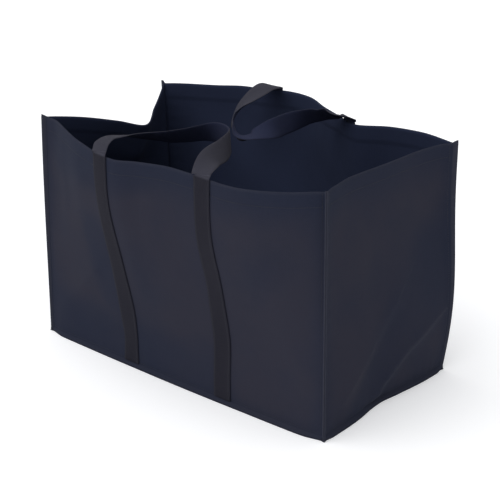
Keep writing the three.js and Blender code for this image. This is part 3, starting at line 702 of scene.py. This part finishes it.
def canvas_material():
    material = bpy.data.materials.new("dark_canvas")
    material.use_nodes = True
    tree = material.node_tree
    shader = tree.nodes["Principled BSDF"]
    flat = node(tree, "ShaderNodeUVMap", (-1500, 0), uv_map="weave").outputs[0]
    place = node(tree, "ShaderNodeTexCoord", (-1500, -400)).outputs["Object"]
    split = node(tree, "ShaderNodeSeparateXYZ", (-1300, 0))
    tree.links.new(flat, split.inputs[0])
    turns = 2 * math.pi / YARN / 2
    warp = maths(tree, "SINE", (-1000, 100), maths(tree, "MULTIPLY", (-1150, 100), split.outputs[0], turns))
    weft = maths(tree, "SINE", (-1000, -50), maths(tree, "MULTIPLY", (-1150, -50), split.outputs[1], turns))
    plain_weave = maths(tree, "MULTIPLY", (-850, 30), warp, weft)
    warp_slub = noise(tree, (-1000, -250), stretched(tree, (-1200, -250), flat, (900, 45, 1)), 1.0, 2.0)
    weft_slub = noise(tree, (-1000, -450), stretched(tree, (-1200, -450), flat, (45, 900, 1)), 1.0, 2.0)
    slub = maths(tree, "ADD", (-800, -300), warp_slub, weft_slub)
    drift = noise(tree, (-1000, -700), place, DRIFTS_PER_METRE, 3.0)
    # Painted shade: the walls' attribute picks the deep colour where they lie in shade. The patches and drift
    # are random tone.
    painted_light = node(tree, "ShaderNodeAttribute", (-1000, -900), attribute_name="painted_light").outputs["Fac"]
    wear_and_highlight = node(tree, "ShaderNodeAttribute", (-1000, -1050), attribute_name="wear_and_highlight").outputs["Fac"]
    blotches = noise(tree, (-1000, -550), place, BLOTCHES_PER_METRE, 6.0)
    patches = maths(tree, "MULTIPLY_ADD", (-850, -500), blotches, 1.5, 0.2)
    painted_light_patches = maths(tree, "MULTIPLY", (-750, -500), painted_light, patches)
    drifted = maths(tree, "MULTIPLY", (-750, -650), maths(tree, "SUBTRACT", (-850, -650), drift, 0.46), 1.1)
    body = maths(tree, "ADD", (-600, -500), painted_light_patches, drifted)
    colour = colour_mix(tree, (-400, -300), body, CANVAS_DEEP, CANVAS_MIDDLE)
    # Painted paler along seams, rim and creases: wear and painted highlight on these ridges.
    worn_and_lit = maths(tree, "MULTIPLY", (-600, -800), wear_and_highlight, maths(tree, "MULTIPLY", (-750, -850), slub, 0.5))
    colour = colour_mix(tree, (-200, -300), worn_and_lit, colour, CANVAS_RUBBED_AND_LIT)
    yarns = maths(tree, "ADD", (-600, 100), plain_weave, slub)
    yarn_shade = maths(tree, "MULTIPLY_ADD", (-400, 100), yarns, YARN_SHADE, YARN_MIDDLE)
    shade = node(tree, "ShaderNodeCombineColor", (-250, 100))
    for socket in shade.inputs:
        tree.links.new(yarn_shade, socket)
    # Painted light: the inner face takes its own colour for the shade and bounce light inside the bag.
    painted_inner_light = node(tree, "ShaderNodeAttribute", (-400, -1000), attribute_name="painted_inner_light").outputs["Fac"]
    colour = colour_mix(tree, (-150, -450), painted_inner_light, colour, CANVAS_INNER_PAINTED_LIGHT)
    final = node(tree, "ShaderNodeMix", (-50, 0), data_type="RGBA", blend_type="MULTIPLY")
    final.inputs[0].default_value = 1.0
    tree.links.new(colour, final.inputs[6])
    tree.links.new(shade.outputs[0], final.inputs[7])
    tree.links.new(final.outputs[2], shader.inputs["Base Color"])
    rough = maths(tree, "MULTIPLY_ADD", (-200, -600), slub, -0.06, 0.97)
    tree.links.new(rough, shader.inputs["Roughness"])
    shader.inputs["Specular IOR Level"].default_value = 0.06
    shader.inputs["Sheen Weight"].default_value = 0.008
    shader.inputs["Sheen Roughness"].default_value = 0.5
    height = maths(tree, "ADD", (-600, 300), plain_weave, maths(tree, "MULTIPLY", (-750, 300), slub, 1.6))
    bump = node(tree, "ShaderNodeBump", (-200, 300))
    bump.inputs["Strength"].default_value = 0.55
    bump.inputs["Distance"].default_value = 0.14 * MM
    tree.links.new(height, bump.inputs["Height"])
    tree.links.new(bump.outputs[0], shader.inputs["Normal"])
    return material


CANVAS = canvas_material()
print("canvas yarns are", YARN / MM, "mm apart")

# %% [markdown]
# ## The four walls
# Each wall is one piece of canvas. Its top is folded in as a hem, so the cloth is thicker there on the
# inside, and a line of stitches draws a shallow groove along it. The cloth is painted palest in the open
# middle of a wall and deeper towards its corners, rim and foot, which is painted shade. It is painted
# nearly white along the edges of its seams, which is wear and painted highlight together.

# %% Make the walls
HEM_STITCH_DROP = 19.5 * MM
GROOVE = 0.35 * MM
GROOVE_WIDTH = 1.6 * MM
CORNER_RAMP = 14 * MM
SEAM_PRESS = 0.1
GROOVE_START = 3 * MM
# Wear and painted highlight: seams, rim, foot seam and crease ridges are painted paler.
SEAM_WEAR_AND_HIGHLIGHT, RIM_WEAR_AND_HIGHLIGHT, FOOT_WEAR_AND_HIGHLIGHT, CREASE_HIGHLIGHT = 0.85, 0.35, 0.3, 0.5
RIM_HIGHLIGHT_DEPTH = 2.5 * MM
# How much painted light a wall gets at most, in its open middle.
PAINTED_LIGHT_MOST = 0.85
SHADE_BAND_STRENGTH = 0.75


def groove(distance):
    return GROOVE * np.exp(-(distance / GROOVE_WIDTH) ** 2)


def wall_piece(side_name, side):
    name = side_name + "_wall_cloth"
    grid, flat = wall_grid(side)
    steps = mitre_steps(grid)
    rows = wall_rows()
    high = np.concatenate([np.full(FOOT_ROWS, rows[0]), rows])[:, None] * np.ones(grid.shape[1])
    column = np.arange(grid.shape[1])
    along = np.clip(column - SEAM_COLUMNS, 0, side["columns"]) / side["columns"] * side["run"]
    to_corner = np.minimum(along, side["run"] - along)[None, :] * np.ones((grid.shape[0], 1))
    in_hem = (high * HEIGHT - (HEIGHT - HEM_DEPTH - HEM_STEP)) / HEM_STEP
    hem = smooth(in_hem) * smooth(to_corner / CORNER_RAMP)
    stitched = groove((1 - high) * HEIGHT - HEM_STITCH_DROP) * smooth(to_corner / GROOVE_START)
    on_seam = (column < SEAM_COLUMNS) | (column >= grid.shape[1] - SEAM_COLUMNS)
    on_seam = on_seam * np.ones((grid.shape[0], 1))
    inner = grid + steps * (HALF_GAP * mix(1, SEAM_PRESS, on_seam) - HEM_EXTRA * hem)[..., None]
    outer = grid + steps * (HALF_GAP + CLOTH - stitched)[..., None]
    share = along[None, :] / side["run"] * np.ones_like(high)
    # Painted shade: the colour is deeper near the corners, the foot and the rim, and paler in the open
    # middle.
    painted_light = smooth(to_corner / 0.04 + 0.3) * smooth((1 - high) * HEIGHT / 0.07)
    painted_light = PAINTED_LIGHT_MOST * painted_light * smooth(high * HEIGHT / 0.05 + 0.3)
    # Painted shade bands deepen the colour further.
    painted_light *= 1 - SHADE_BAND_STRENGTH * shade_band_share(SHADE_BANDS[side_name], share, high, side["run"])
    wear_and_highlight = SEAM_WEAR_AND_HIGHLIGHT * on_seam + RIM_WEAR_AND_HIGHLIGHT * smooth(1 - (1 - high) * HEIGHT / RIM_HIGHLIGHT_DEPTH)
    wear_and_highlight[:FOOT_ROWS] = np.maximum(wear_and_highlight[:FOOT_ROWS], FOOT_WEAR_AND_HIGHLIGHT)
    wear_and_highlight = np.maximum(wear_and_highlight, CREASE_HIGHLIGHT * crease_highlight(side["folds"], share, high, side["run"]))
    tints = {"painted_light": painted_light, "wear_and_highlight": np.clip(wear_and_highlight, 0, 1)}
    piece = cloth_piece(name, grid, flat, inner, outer, CANVAS, tints, 1 - on_seam)
    print(name, len(piece.data.polygons), "faces")
    return piece, grid


walls = {}
foot_lines = {}
for side_name, side in SIDES.items():
    walls[side_name], wall = wall_piece(side_name, side)
    foot_lines[side_name] = wall[0]

# %% [markdown]
# ## The base
# The base is a flat piece of the same canvas, cut as wide as the outer edge of the foot seam. It lies on
# the floor, so it stays flat. It is made from the outline of the four walls, drawn in ring by ring.

# %% Make the base
BASE_RINGS = 26
RING_POWER = 1.2
# The base is painted part way to the deep colour, as painted shade inside the bag.
BASE_PAINTED_LIGHT = 0.4
BASE_WEAR_AND_HIGHLIGHT = 0.05


def base_piece():
    ends = SEAM_COLUMNS + 1
    parts = [part for line in foot_lines.values() for part in (line[:1], line[ends:-ends])]
    outline = np.concatenate(parts)[:, :2]
    outline = outline * (1 + CLOTH / np.linalg.norm(outline, axis=1, keepdims=True))
    shares = 1 - (np.arange(BASE_RINGS) / BASE_RINGS) ** RING_POWER
    count = len(outline)
    edge = EDGE_ROUND * CLOTH
    faces = []
    top = [[*(outline[k] * share - unit(outline[k]) * (edge if ring == 0 else 0)), CLOTH]
           for ring, share in enumerate(shares) for k in range(count)]
    bottom = [[x, y, 0.0] for x, y, _ in top]
    vertices = top + bottom + [[0, 0, CLOTH], [0, 0, 0]] + [[*point, CLOTH / 2] for point in outline]
    size = BASE_RINGS * count
    for k in range(count):
        n = (k + 1) % count
        for ring in range(BASE_RINGS - 1):
            a, b = ring * count + k, ring * count + n
            c, d = b + count, a + count
            faces.append([a, b, c, d])
            faces.append([d + size, c + size, b + size, a + size])
        last = (BASE_RINGS - 1) * count
        faces.append([last + k, last + n, 2 * size])
        faces.append([last + n + size, last + k + size, 2 * size + 1])
        u, v = 2 * size + 2 + k, 2 * size + 2 + n
        faces.append([n, k, u, v])
        faces.append([v, u, k + size, n + size])
    piece = mesh_piece("base_cloth", vertices, faces, CANVAS)
    layer = piece.data.uv_layers.new(name="weave")
    corner_vertex = np.empty(len(piece.data.loops), int)
    piece.data.loops.foreach_get("vertex_index", corner_vertex)
    flat = np.array(vertices)[:, :2] + 0.5
    layer.data.foreach_set("uv", flat[corner_vertex].ravel())
    for tint, value in (("painted_light", BASE_PAINTED_LIGHT), ("wear_and_highlight", BASE_WEAR_AND_HIGHLIGHT)):
        attribute = piece.data.attributes.new(tint, "FLOAT", "POINT")
        attribute.data.foreach_set("value", np.full(len(vertices), value))
    piece.data.polygons.foreach_set("use_smooth", np.ones(len(piece.data.polygons), bool))
    return piece


base = base_piece()
print("base_cloth", len(base.data.polygons), "faces")

# %% [markdown]
# ## The webbing finish
# Cotton webbing is woven tighter than canvas, with thick ribs across its width and a firm woven edge on
# each side. It is a shade warmer than the canvas, and its ribs catch a little more light.

# %% Webbing
RIB = 1.7 * MM
WEBBING_YARN = 1.3 * MM
SELVEDGE = 3.5 * MM
WEBBING_DARK = (0.0112, 0.0113, 0.0190, 1.0)
WEBBING_PALE = (0.0262, 0.0255, 0.0365, 1.0)
# Pale colour for the webbing's worn edges and for the handle loop, where it is a painted highlight.
WEBBING_RUBBED_AND_LIT = (0.0590, 0.0590, 0.0800, 1.0)
# Painted light: the webbing's inner face takes this bluer colour for the bounce light on its shaded
# underside.
WEBBING_UNDER_PAINTED_LIGHT = (0.0250, 0.0300, 0.0640, 1.0)


def webbing_material():
    material = bpy.data.materials.new("ribbed_webbing")
    material.use_nodes = True
    tree = material.node_tree
    shader = tree.nodes["Principled BSDF"]
    flat = node(tree, "ShaderNodeUVMap", (-1500, 0), uv_map="weave").outputs[0]
    split = node(tree, "ShaderNodeSeparateXYZ", (-1300, 0))
    tree.links.new(flat, split.inputs[0])
    across, along = split.outputs[0], split.outputs[1]
    rib = maths(tree, "SINE", (-950, 100), maths(tree, "MULTIPLY", (-1100, 100), along, 2 * math.pi / RIB))
    turns = maths(tree, "MULTIPLY", (-1100, -50), across, 2 * math.pi / WEBBING_YARN)
    yarn = maths(tree, "SINE", (-950, -50), turns)
    ribs = maths(tree, "ADD", (-750, 50), rib, maths(tree, "MULTIPLY", (-850, -50), yarn, 0.45))
    offset = maths(tree, "SUBTRACT", (-1100, -200), across, WEBBING_WIDTH / 2)
    from_middle = maths(tree, "ABSOLUTE", (-950, -200), offset)
    past = maths(tree, "SUBTRACT", (-900, -200), from_middle, WEBBING_WIDTH / 2 - SELVEDGE)
    past = maths(tree, "MAXIMUM", (-820, -200), past, 0.0)
    selvedge = maths(tree, "MULTIPLY", (-700, -200), past, 1 / SELVEDGE)
    slub = noise(tree, (-950, -400), stretched(tree, (-1150, -400), flat, (60, 700, 1)), 1.0, 2.0)
    drift = noise(tree, (-950, -600), stretched(tree, (-1150, -600), flat, (30, 9, 1)), 1.0, 3.0)
    wear_and_highlight = node(tree, "ShaderNodeAttribute", (-950, -800), attribute_name="wear_and_highlight").outputs["Fac"]
    body = maths(tree, "ADD", (-550, -400), maths(tree, "MULTIPLY", (-700, -400), drift, 0.55),
                 maths(tree, "MULTIPLY", (-750, -500), slub, 0.3))
    colour = colour_mix(tree, (-350, -300), body, WEBBING_DARK, WEBBING_PALE)
    # Painted paler on the handle loop as painted highlight, and along the edges as wear.
    uneven = maths(tree, "MULTIPLY_ADD", (-650, -800), drift, 0.6, 0.5)
    worn_and_lit = maths(tree, "MULTIPLY", (-500, -700), wear_and_highlight, uneven)
    colour = colour_mix(tree, (-300, -450), worn_and_lit, colour, WEBBING_RUBBED_AND_LIT)
    # Painted light: the inner face of the webbing takes its own colour for the light inside the bag.
    under = node(tree, "ShaderNodeAttribute", (-950, -950), attribute_name="painted_inner_light").outputs["Fac"]
    colour = colour_mix(tree, (-250, -600), under, colour, WEBBING_UNDER_PAINTED_LIGHT)
    depth = maths(tree, "MULTIPLY_ADD", (-450, 100), ribs, 0.10, 0.92)
    depth = maths(tree, "SUBTRACT", (-350, 100), depth, maths(tree, "MULTIPLY", (-450, -50), selvedge, 0.10))
    shade = node(tree, "ShaderNodeCombineColor", (-250, 100))
    for socket in shade.inputs:
        tree.links.new(depth, socket)
    final = node(tree, "ShaderNodeMix", (-80, 0), data_type="RGBA", blend_type="MULTIPLY")
    final.inputs[0].default_value = 1.0
    tree.links.new(colour, final.inputs[6])
    tree.links.new(shade.outputs[0], final.inputs[7])
    tree.links.new(final.outputs[2], shader.inputs["Base Color"])
    tree.links.new(maths(tree, "MULTIPLY_ADD", (-300, -600), slub, -0.1, 0.9), shader.inputs["Roughness"])
    shader.inputs["Specular IOR Level"].default_value = 0.08
    shader.inputs["Sheen Weight"].default_value = 0.012
    shader.inputs["Sheen Roughness"].default_value = 0.45
    bump = node(tree, "ShaderNodeBump", (-200, 300))
    bump.inputs["Strength"].default_value = 0.7
    bump.inputs["Distance"].default_value = 0.3 * MM
    tree.links.new(maths(tree, "ADD", (-500, 300), ribs, slub), bump.inputs["Height"])
    tree.links.new(bump.outputs[0], shader.inputs["Normal"])
    return material


WEBBING = webbing_material()
print("webbing ribs are", RIB / MM, "mm apart")

# %% [markdown]
# ## The straps
# Each strap is one length of webbing: up the wall, over in a loop as the handle, and down the wall again.
# A curve with a bevel would twist where the loop turns over, so its path is a short table of places with
# the way across the webbing at each, and the webbing is laid along it as a flat sheet with rounded edges.

# %% Tables of the handles
HANDLE_COLUMNS = "along across up heading tilt"
NEAR_HANDLE = table(
    HANDLE_COLUMNS,
    (-0.304, -1.386, 1.017, -17, 2), (-0.326, -1.286, 1.025, -28, 6), (-0.33, -1.164, 1.025, -38, 8),
    (-0.311, -1.021, 1.02, -44, 18), (-0.256, -0.886, 1.015, -49, 32), (-0.189, -0.736, 1.01, -49, 42),
    (-0.148, -0.55, 1.003, -54, 52), (-0.089, -0.35, 1.006, -56, 66), (0.011, -0.321, 1.016, -72, 84),
    (0.148, -0.471, 1.022, -100, 86), (0.237, -0.757, 1.02, -150, 65), (0.304, -1.07, 1.028, -155, 40),
    (0.352, -1.25, 1.023, -168, 16),
)
FAR_HANDLE = table(
    HANDLE_COLUMNS,
    (0.333, 0.971, 1.019, 178, 0), (0.315, 0.936, 1.026, 160, -3), (0.289, 0.929, 1.027, 138, -14),
    (0.256, 0.943, 1.024, 125, -28), (0.219, 0.954, 1.02, 130, -38),
    (0.178, 0.957, 1.01, 138, -42),
    (0.115, 0.907, 1.0, 142, -60), (0.074, 0.821, 0.987, 142, -80), (0.044, 0.671, 0.977, -49, -72),
    (0.037, 0.471, 0.97, -47, -52), (0.007, 0.321, 0.96, -41, -24), (-0.03, 0.229, 0.95, -41, -2),
    (-0.1, 0.229, 0.943, -43, 15), (-0.189, 0.336, 0.95, -46, 21), (-0.244, 0.443, 0.971, -46, 21),
    (-0.274, 0.571, 0.991, -43, 18), (-0.296, 0.764, 1.018, -24, 5), (-0.311, 0.97, 1.04, -8, -6),
    (-0.335, 1.179, 1.05, 6, -10), (-0.355, 1.343, 1.042, 10, -8),
)

# %% Make the straps
ACROSS = np.array([-1.0, -0.94, -0.75, -0.5, -0.25, 0.0, 0.25, 0.5, 0.75, 0.94, 1.0])
EDGE_THIN = np.array([0.45, 0.9, 1.0, 1.0, 1.0, 1.0, 1.0, 1.0, 1.0, 0.9, 0.45])
LEG_STATIONS = 68
HANDLE_STEP = 3 * MM
EDGE_WEAR = 0.3
EDGE_WEAR_POWER = 8
# The handle loop is painted pale: painted highlight where it faces the light above, and wear from hands.
HANDLE_WEAR_AND_HIGHLIGHT = 0.9


def leg_lines(side, leg):
    """The middle of the webbing's thickness up a leg, and the way out from the wall, at each station."""
    up = np.linspace((FOOT_SEAM_TOP + STRAP_START) / HEIGHT, 1, LEG_STATIONS)[:, None]
    share = leg_share(side, leg, up, ACROSS[None, :] * WEBBING_WIDTH / 2)
    out = side_normals(side, share, up)
    return side_points(side, share, up) + out * (LEG_DEPTH + WEBBING_THICKNESS / 2), out


def handle_lines(rows, first_leg, last_leg):
    """The free loop between the tops of two legs."""
    def top(line, lift):
        centre = line.mean(axis=0) + UP * lift
        return [*centre, *unit(line[-1] - line[0])]
    stations = [top(first_leg[-1], 0), top(first_leg[-1], HANDLE_CLEAR_RISE)]
    for k in range(len(rows["up"])):
        turn, tilt = math.radians(rows["heading"][k]), math.radians(rows["tilt"][k])
        stations.append([rows["along"][k] * LENGTH / 2, rows["across"][k] * WIDTH / 2, rows["up"][k] * HEIGHT,
                         math.cos(turn) * math.cos(tilt), math.sin(turn) * math.cos(tilt), math.sin(tilt)])
    stations += [top(last_leg[0], HANDLE_CLEAR_RISE), top(last_leg[0], 0)]
    stations = np.array(stations)
    run = np.concatenate([[0], np.cumsum(np.linalg.norm(np.diff(stations[:, :3], axis=0), axis=1))])
    path = {"at": run, **{name: stations[:, k] for k, name in enumerate(("x", "y", "z", "wx", "wy", "wz"))}}

    def sample(at, names):
        return np.stack([table_value(path, at, name) for name in names], axis=-1)
    count = round(run[-1] / HANDLE_STEP)
    at = run[-1] * np.arange(1, count) / count
    centre = sample(at, "xyz")
    way = unit(sample(np.minimum(at + MM, run[-1]), "xyz") - sample(np.maximum(at - MM, 0), "xyz"))
    across = sample(at, ("wx", "wy", "wz"))
    across = unit(across - way * (across * way).sum(axis=1, keepdims=True))
    out = np.cross(across, way)
    line = centre[:, None, :] + across[:, None, :] * ACROSS[None, :, None] * WEBBING_WIDTH / 2
    return line, np.repeat(out[:, None, :], len(ACROSS), axis=1)


def strap_piece(name, side, handle):
    rising, rising_out = leg_lines(side, 0)
    falling, falling_out = leg_lines(side, 1)
    falling, falling_out = falling[::-1, ::-1], falling_out[::-1, ::-1]
    loop, loop_out = handle_lines(handle, rising, falling)
    line = np.concatenate([rising, loop, falling])
    out = np.concatenate([rising_out, loop_out, falling_out])
    half = (EDGE_THIN * WEBBING_THICKNESS / 2)[None, :, None]
    middle = line[:, len(ACROSS) // 2]
    along = np.concatenate([[0], np.cumsum(np.linalg.norm(np.diff(middle, axis=0), axis=1))])
    flat = np.stack(np.meshgrid((ACROSS + 1) * WEBBING_WIDTH / 2, along), axis=-1)
    edge = np.abs(ACROSS)[None, :] ** EDGE_WEAR_POWER * np.ones((len(line), 1))
    worn_and_lit = np.repeat([0.0, 1.0, 0.0], [LEG_STATIONS, len(loop), LEG_STATIONS])[:, None]
    wear_and_highlight = np.clip(EDGE_WEAR * edge + HANDLE_WEAR_AND_HIGHLIGHT * worn_and_lit, 0, 1)
    piece = cloth_piece(name, line, flat, line - out * half, line + out * half, WEBBING, {"wear_and_highlight": wear_and_highlight},
                        np.ones_like(wear_and_highlight))
    print(name, "is", round(float(along[-1]), 3), "m of webbing,", len(piece.data.polygons), "faces")
    return piece


straps = {
    "front": strap_piece("front_webbing", SIDES["front"], NEAR_HANDLE),
    "back": strap_piece("back_webbing", SIDES["back"], FAR_HANDLE),
}

# %% [markdown]
# ## The thread
# The seams are lockstitched in dark thread, about seven stitches to the inch. Each stitch is a short
# rounded bar of thread lying along the seam. Geometry Nodes lays one bar at each step of a path, turned
# to lie on the cloth, which is much less work than placing two thousand of them one by one.

# %% Stitch tree
STITCH_PITCH = 3.6 * MM
STITCH_LENGTH = 2.7 * MM
STITCH_WIDTH = 0.75 * MM
THREAD_COLOUR = (0.014, 0.015, 0.024, 1.0)
THREAD_DARK = (0.009, 0.0095, 0.016, 1.0)
TWISTS_PER_METRE = 1400.0


def thread_material():
    material = plain_material("dark_thread", THREAD_COLOUR, 0.7)
    tree = material.node_tree
    shader = tree.nodes["Principled BSDF"]
    place = node(tree, "ShaderNodeTexCoord", (-900, 0)).outputs["Object"]
    twist = noise(tree, (-600, 0), place, TWISTS_PER_METRE, 1.0)
    colour = colour_mix(tree, (-300, 0), twist, THREAD_DARK, THREAD_COLOUR)
    tree.links.new(colour, shader.inputs["Base Color"])
    bump = node(tree, "ShaderNodeBump", (-300, -200))
    bump.inputs["Strength"].default_value = 0.4
    bump.inputs["Distance"].default_value = 0.1 * MM
    tree.links.new(twist, bump.inputs["Height"])
    tree.links.new(bump.outputs[0], shader.inputs["Normal"])
    return material


THREAD = thread_material()


def stitch_tree():
    tree = bpy.data.node_groups.new("stitches_along_a_seam", "GeometryNodeTree")
    tree.interface.new_socket("Geometry", in_out="INPUT", socket_type="NodeSocketGeometry")
    for name in ("Pitch", "Stitch Length", "Stitch Width"):
        tree.interface.new_socket(name, in_out="INPUT", socket_type="NodeSocketFloat")
    tree.interface.new_socket("Geometry", in_out="OUTPUT", socket_type="NodeSocketGeometry")
    entry = node(tree, "NodeGroupInput", (-900, 0))
    leave = node(tree, "NodeGroupOutput", (900, 0))
    path = node(tree, "GeometryNodeMeshToCurve", (-700, 100))
    even = node(tree, "GeometryNodeResampleCurve", (-500, 100), mode="LENGTH")
    bar = node(tree, "GeometryNodeMeshUVSphere", (-500, -250))
    bar.inputs["Segments"].default_value = 6
    bar.inputs["Rings"].default_value = 4
    bar.inputs["Radius"].default_value = 0.5
    size = node(tree, "ShaderNodeCombineXYZ", (-500, -450))
    shape = node(tree, "GeometryNodeTransform", (-300, -250))
    round_off = node(tree, "GeometryNodeSetShadeSmooth", (-120, -250))
    tangent = node(tree, "GeometryNodeInputTangent", (-500, -650))
    out = node(tree, "GeometryNodeInputNamedAttribute", (-500, -800), data_type="FLOAT_VECTOR")
    out.inputs["Name"].default_value = "out"
    turn = node(tree, "FunctionNodeAlignRotationToVector", (-300, -650), axis="X")
    lie = node(tree, "FunctionNodeAlignRotationToVector", (-100, -650), axis="Z", pivot_axis="X")
    lay = node(tree, "GeometryNodeInstanceOnPoints", (100, 0))
    real = node(tree, "GeometryNodeRealizeInstances", (350, 0))
    finish = node(tree, "GeometryNodeSetMaterial", (600, 0))
    finish.inputs["Material"].default_value = THREAD
    link = tree.links.new
    link(entry.outputs["Geometry"], path.inputs["Mesh"])
    link(path.outputs["Curve"], even.inputs["Curve"])
    link(entry.outputs["Pitch"], even.inputs["Length"])
    link(entry.outputs["Stitch Length"], size.inputs[0])
    link(entry.outputs["Stitch Width"], size.inputs[1])
    link(entry.outputs["Stitch Width"], size.inputs[2])
    link(bar.outputs["Mesh"], shape.inputs["Geometry"])
    link(size.outputs[0], shape.inputs["Scale"])
    link(shape.outputs[0], round_off.inputs[0])
    link(tangent.outputs[0], turn.inputs["Vector"])
    link(turn.outputs[0], lie.inputs["Rotation"])
    link(out.outputs["Attribute"], lie.inputs["Vector"])
    link(even.outputs["Curve"], lay.inputs["Points"])
    link(round_off.outputs[0], lay.inputs["Instance"])
    link(lie.outputs[0], lay.inputs["Rotation"])
    link(lay.outputs[0], real.inputs[0])
    link(real.outputs[0], finish.inputs["Geometry"])
    link(finish.outputs[0], leave.inputs[0])
    return tree


STITCHES = stitch_tree()

# %% Lay stitches along paths
def stitched_piece(name, paths):
    """Stitches along each path of (points, ways out). The modifier's result is baked to a plain mesh."""
    points = np.concatenate([path for path, _ in paths])
    ways = np.concatenate([way for _, way in paths])
    edges, first = [], 0
    for path, _ in paths:
        edges += [(first + k, first + k + 1) for k in range(len(path) - 1)]
        first += len(path)
    mesh = bpy.data.meshes.new(name + "_path")
    mesh.from_pydata(points.tolist(), edges, [])
    attribute = mesh.attributes.new("out", "FLOAT_VECTOR", "POINT")
    attribute.data.foreach_set("vector", ways.ravel())
    guide = bpy.data.objects.new(name + "_path", mesh)
    bpy.context.scene.collection.objects.link(guide)
    modifier = guide.modifiers.new("stitches", "NODES")
    modifier.node_group = STITCHES
    sizes = {"Pitch": STITCH_PITCH, "Stitch Length": STITCH_LENGTH, "Stitch Width": STITCH_WIDTH}
    for socket in STITCHES.interface.items_tree:
        if socket.in_out == "INPUT" and socket.name in sizes:
            modifier[socket.identifier] = sizes[socket.name]
    baked = bpy.data.meshes.new_from_object(guide.evaluated_get(bpy.context.evaluated_depsgraph_get()))
    baked.name = name
    bpy.data.objects.remove(guide)
    if "out" in baked.attributes:
        baked.attributes.remove(baked.attributes["out"])
    piece = bpy.data.objects.new(name, baked)
    bpy.context.scene.collection.objects.link(piece)
    print(name, len(baked.polygons), "faces")
    return piece


# %% [markdown]
# ## Where the thread runs
# One line runs round the rim at the foot of the hem, one runs up each corner beside the turned-out seam,
# and one runs round just above the foot. A line also runs up each edge of the webbing on the walls.

# %% Seam lines and strap lines
SEAM_LINE_IN = 2.2 * MM
FOOT_LINE_RISE = 2.5 * MM
CORNER_LINE_DROP = 3 * MM
STRAP_LINE_IN = 2.6 * MM
STRAP_LINE_ENDS = (3 * MM, 2 * MM)
HEM_LINE_CLEAR = 1 * MM
GROOVE_SHARE = 0.6
LINE_POINTS = 140
HEM_LINE_POINTS = 60
THREAD_SINK = 0.12 * MM
SURFACE = HALF_GAP + CLOTH


def line_on(side, share, up, depth):
    share, up = np.broadcast_arrays(np.asarray(share, float), np.asarray(up, float))
    out = side_normals(side, share, up)
    return side_points(side, share, up) + out * depth, out


def wall_seams(side):
    inset = SEAM_LINE_IN / side["run"] + CLOTH / side["run"]
    low, high = (FOOT_SEAM_TOP + FOOT_LINE_RISE) / HEIGHT, 1 - CORNER_LINE_DROP / HEIGHT
    shares = np.linspace(inset, 1 - inset, side["columns"] * 2)
    ups = np.linspace(low, high, LINE_POINTS)
    hem_up = 1 - HEM_STITCH_DROP / HEIGHT
    hem = line_on(side, shares, hem_up, SURFACE - GROOVE * GROOVE_SHARE)
    foot = line_on(side, shares, low, SURFACE - THREAD_SINK)
    corners = [line_on(side, share, ups, SURFACE - THREAD_SINK) for share in (inset, 1 - inset)]
    if side["legs"] is None:
        return [hem, foot, *corners]
    half = (WEBBING_WIDTH / 2 + HEM_LINE_CLEAR) / LENGTH
    cuts = [[leg_share(side, leg, hem_up) + sign * half for sign in (-1, 1)] for leg in (0, 1)]
    pieces = [(inset, cuts[0][0]), (cuts[0][1], cuts[1][0]), (cuts[1][1], 1 - inset)]
    hems = [line_on(side, np.linspace(a, b, HEM_LINE_POINTS), hem_up, SURFACE - GROOVE * GROOVE_SHARE)
            for a, b in pieces]
    return [*hems, foot, *corners]


def strap_lines(side):
    low, high = (FOOT_SEAM_TOP + STRAP_START + STRAP_LINE_ENDS[0]) / HEIGHT, 1 - STRAP_LINE_ENDS[1] / HEIGHT
    ups = np.linspace(low, high, LINE_POINTS)
    depth = LEG_DEPTH + WEBBING_THICKNESS - THREAD_SINK
    offsets = [sign * (WEBBING_WIDTH / 2 - STRAP_LINE_IN) for sign in (-1, 1)]
    return [line_on(side, leg_share(side, leg, ups, offset), ups, depth)
            for leg in (0, 1) for offset in offsets]


threads = {name + "_wall_stitches": stitched_piece(name + "_wall_stitches", wall_seams(side))
           for name, side in SIDES.items()}
for name in ("front", "back"):
    threads[name + "_strap_stitches"] = stitched_piece(name + "_strap_stitches", strap_lines(SIDES[name]))

# %% [markdown]
# ## Each piece takes its solid's place
# Every cloth piece takes the place of its solid in the imported model and rides with it.

# %% Ride and replace
NODES = {"front": "front_panel", "right": "right_end_panel", "back": "back_panel", "left": "left_end_panel"}
for name, piece in walls.items():
    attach(piece, "root")
    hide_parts(NODES[name])
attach(base, "root")
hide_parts("bottom_panel")
for name, piece in straps.items():
    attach(piece, "root")
    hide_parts(name + "_strap")
for name, piece in threads.items():
    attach(piece, "root")

print(len(walls) + len(straps) + len(threads) + 1, "pieces")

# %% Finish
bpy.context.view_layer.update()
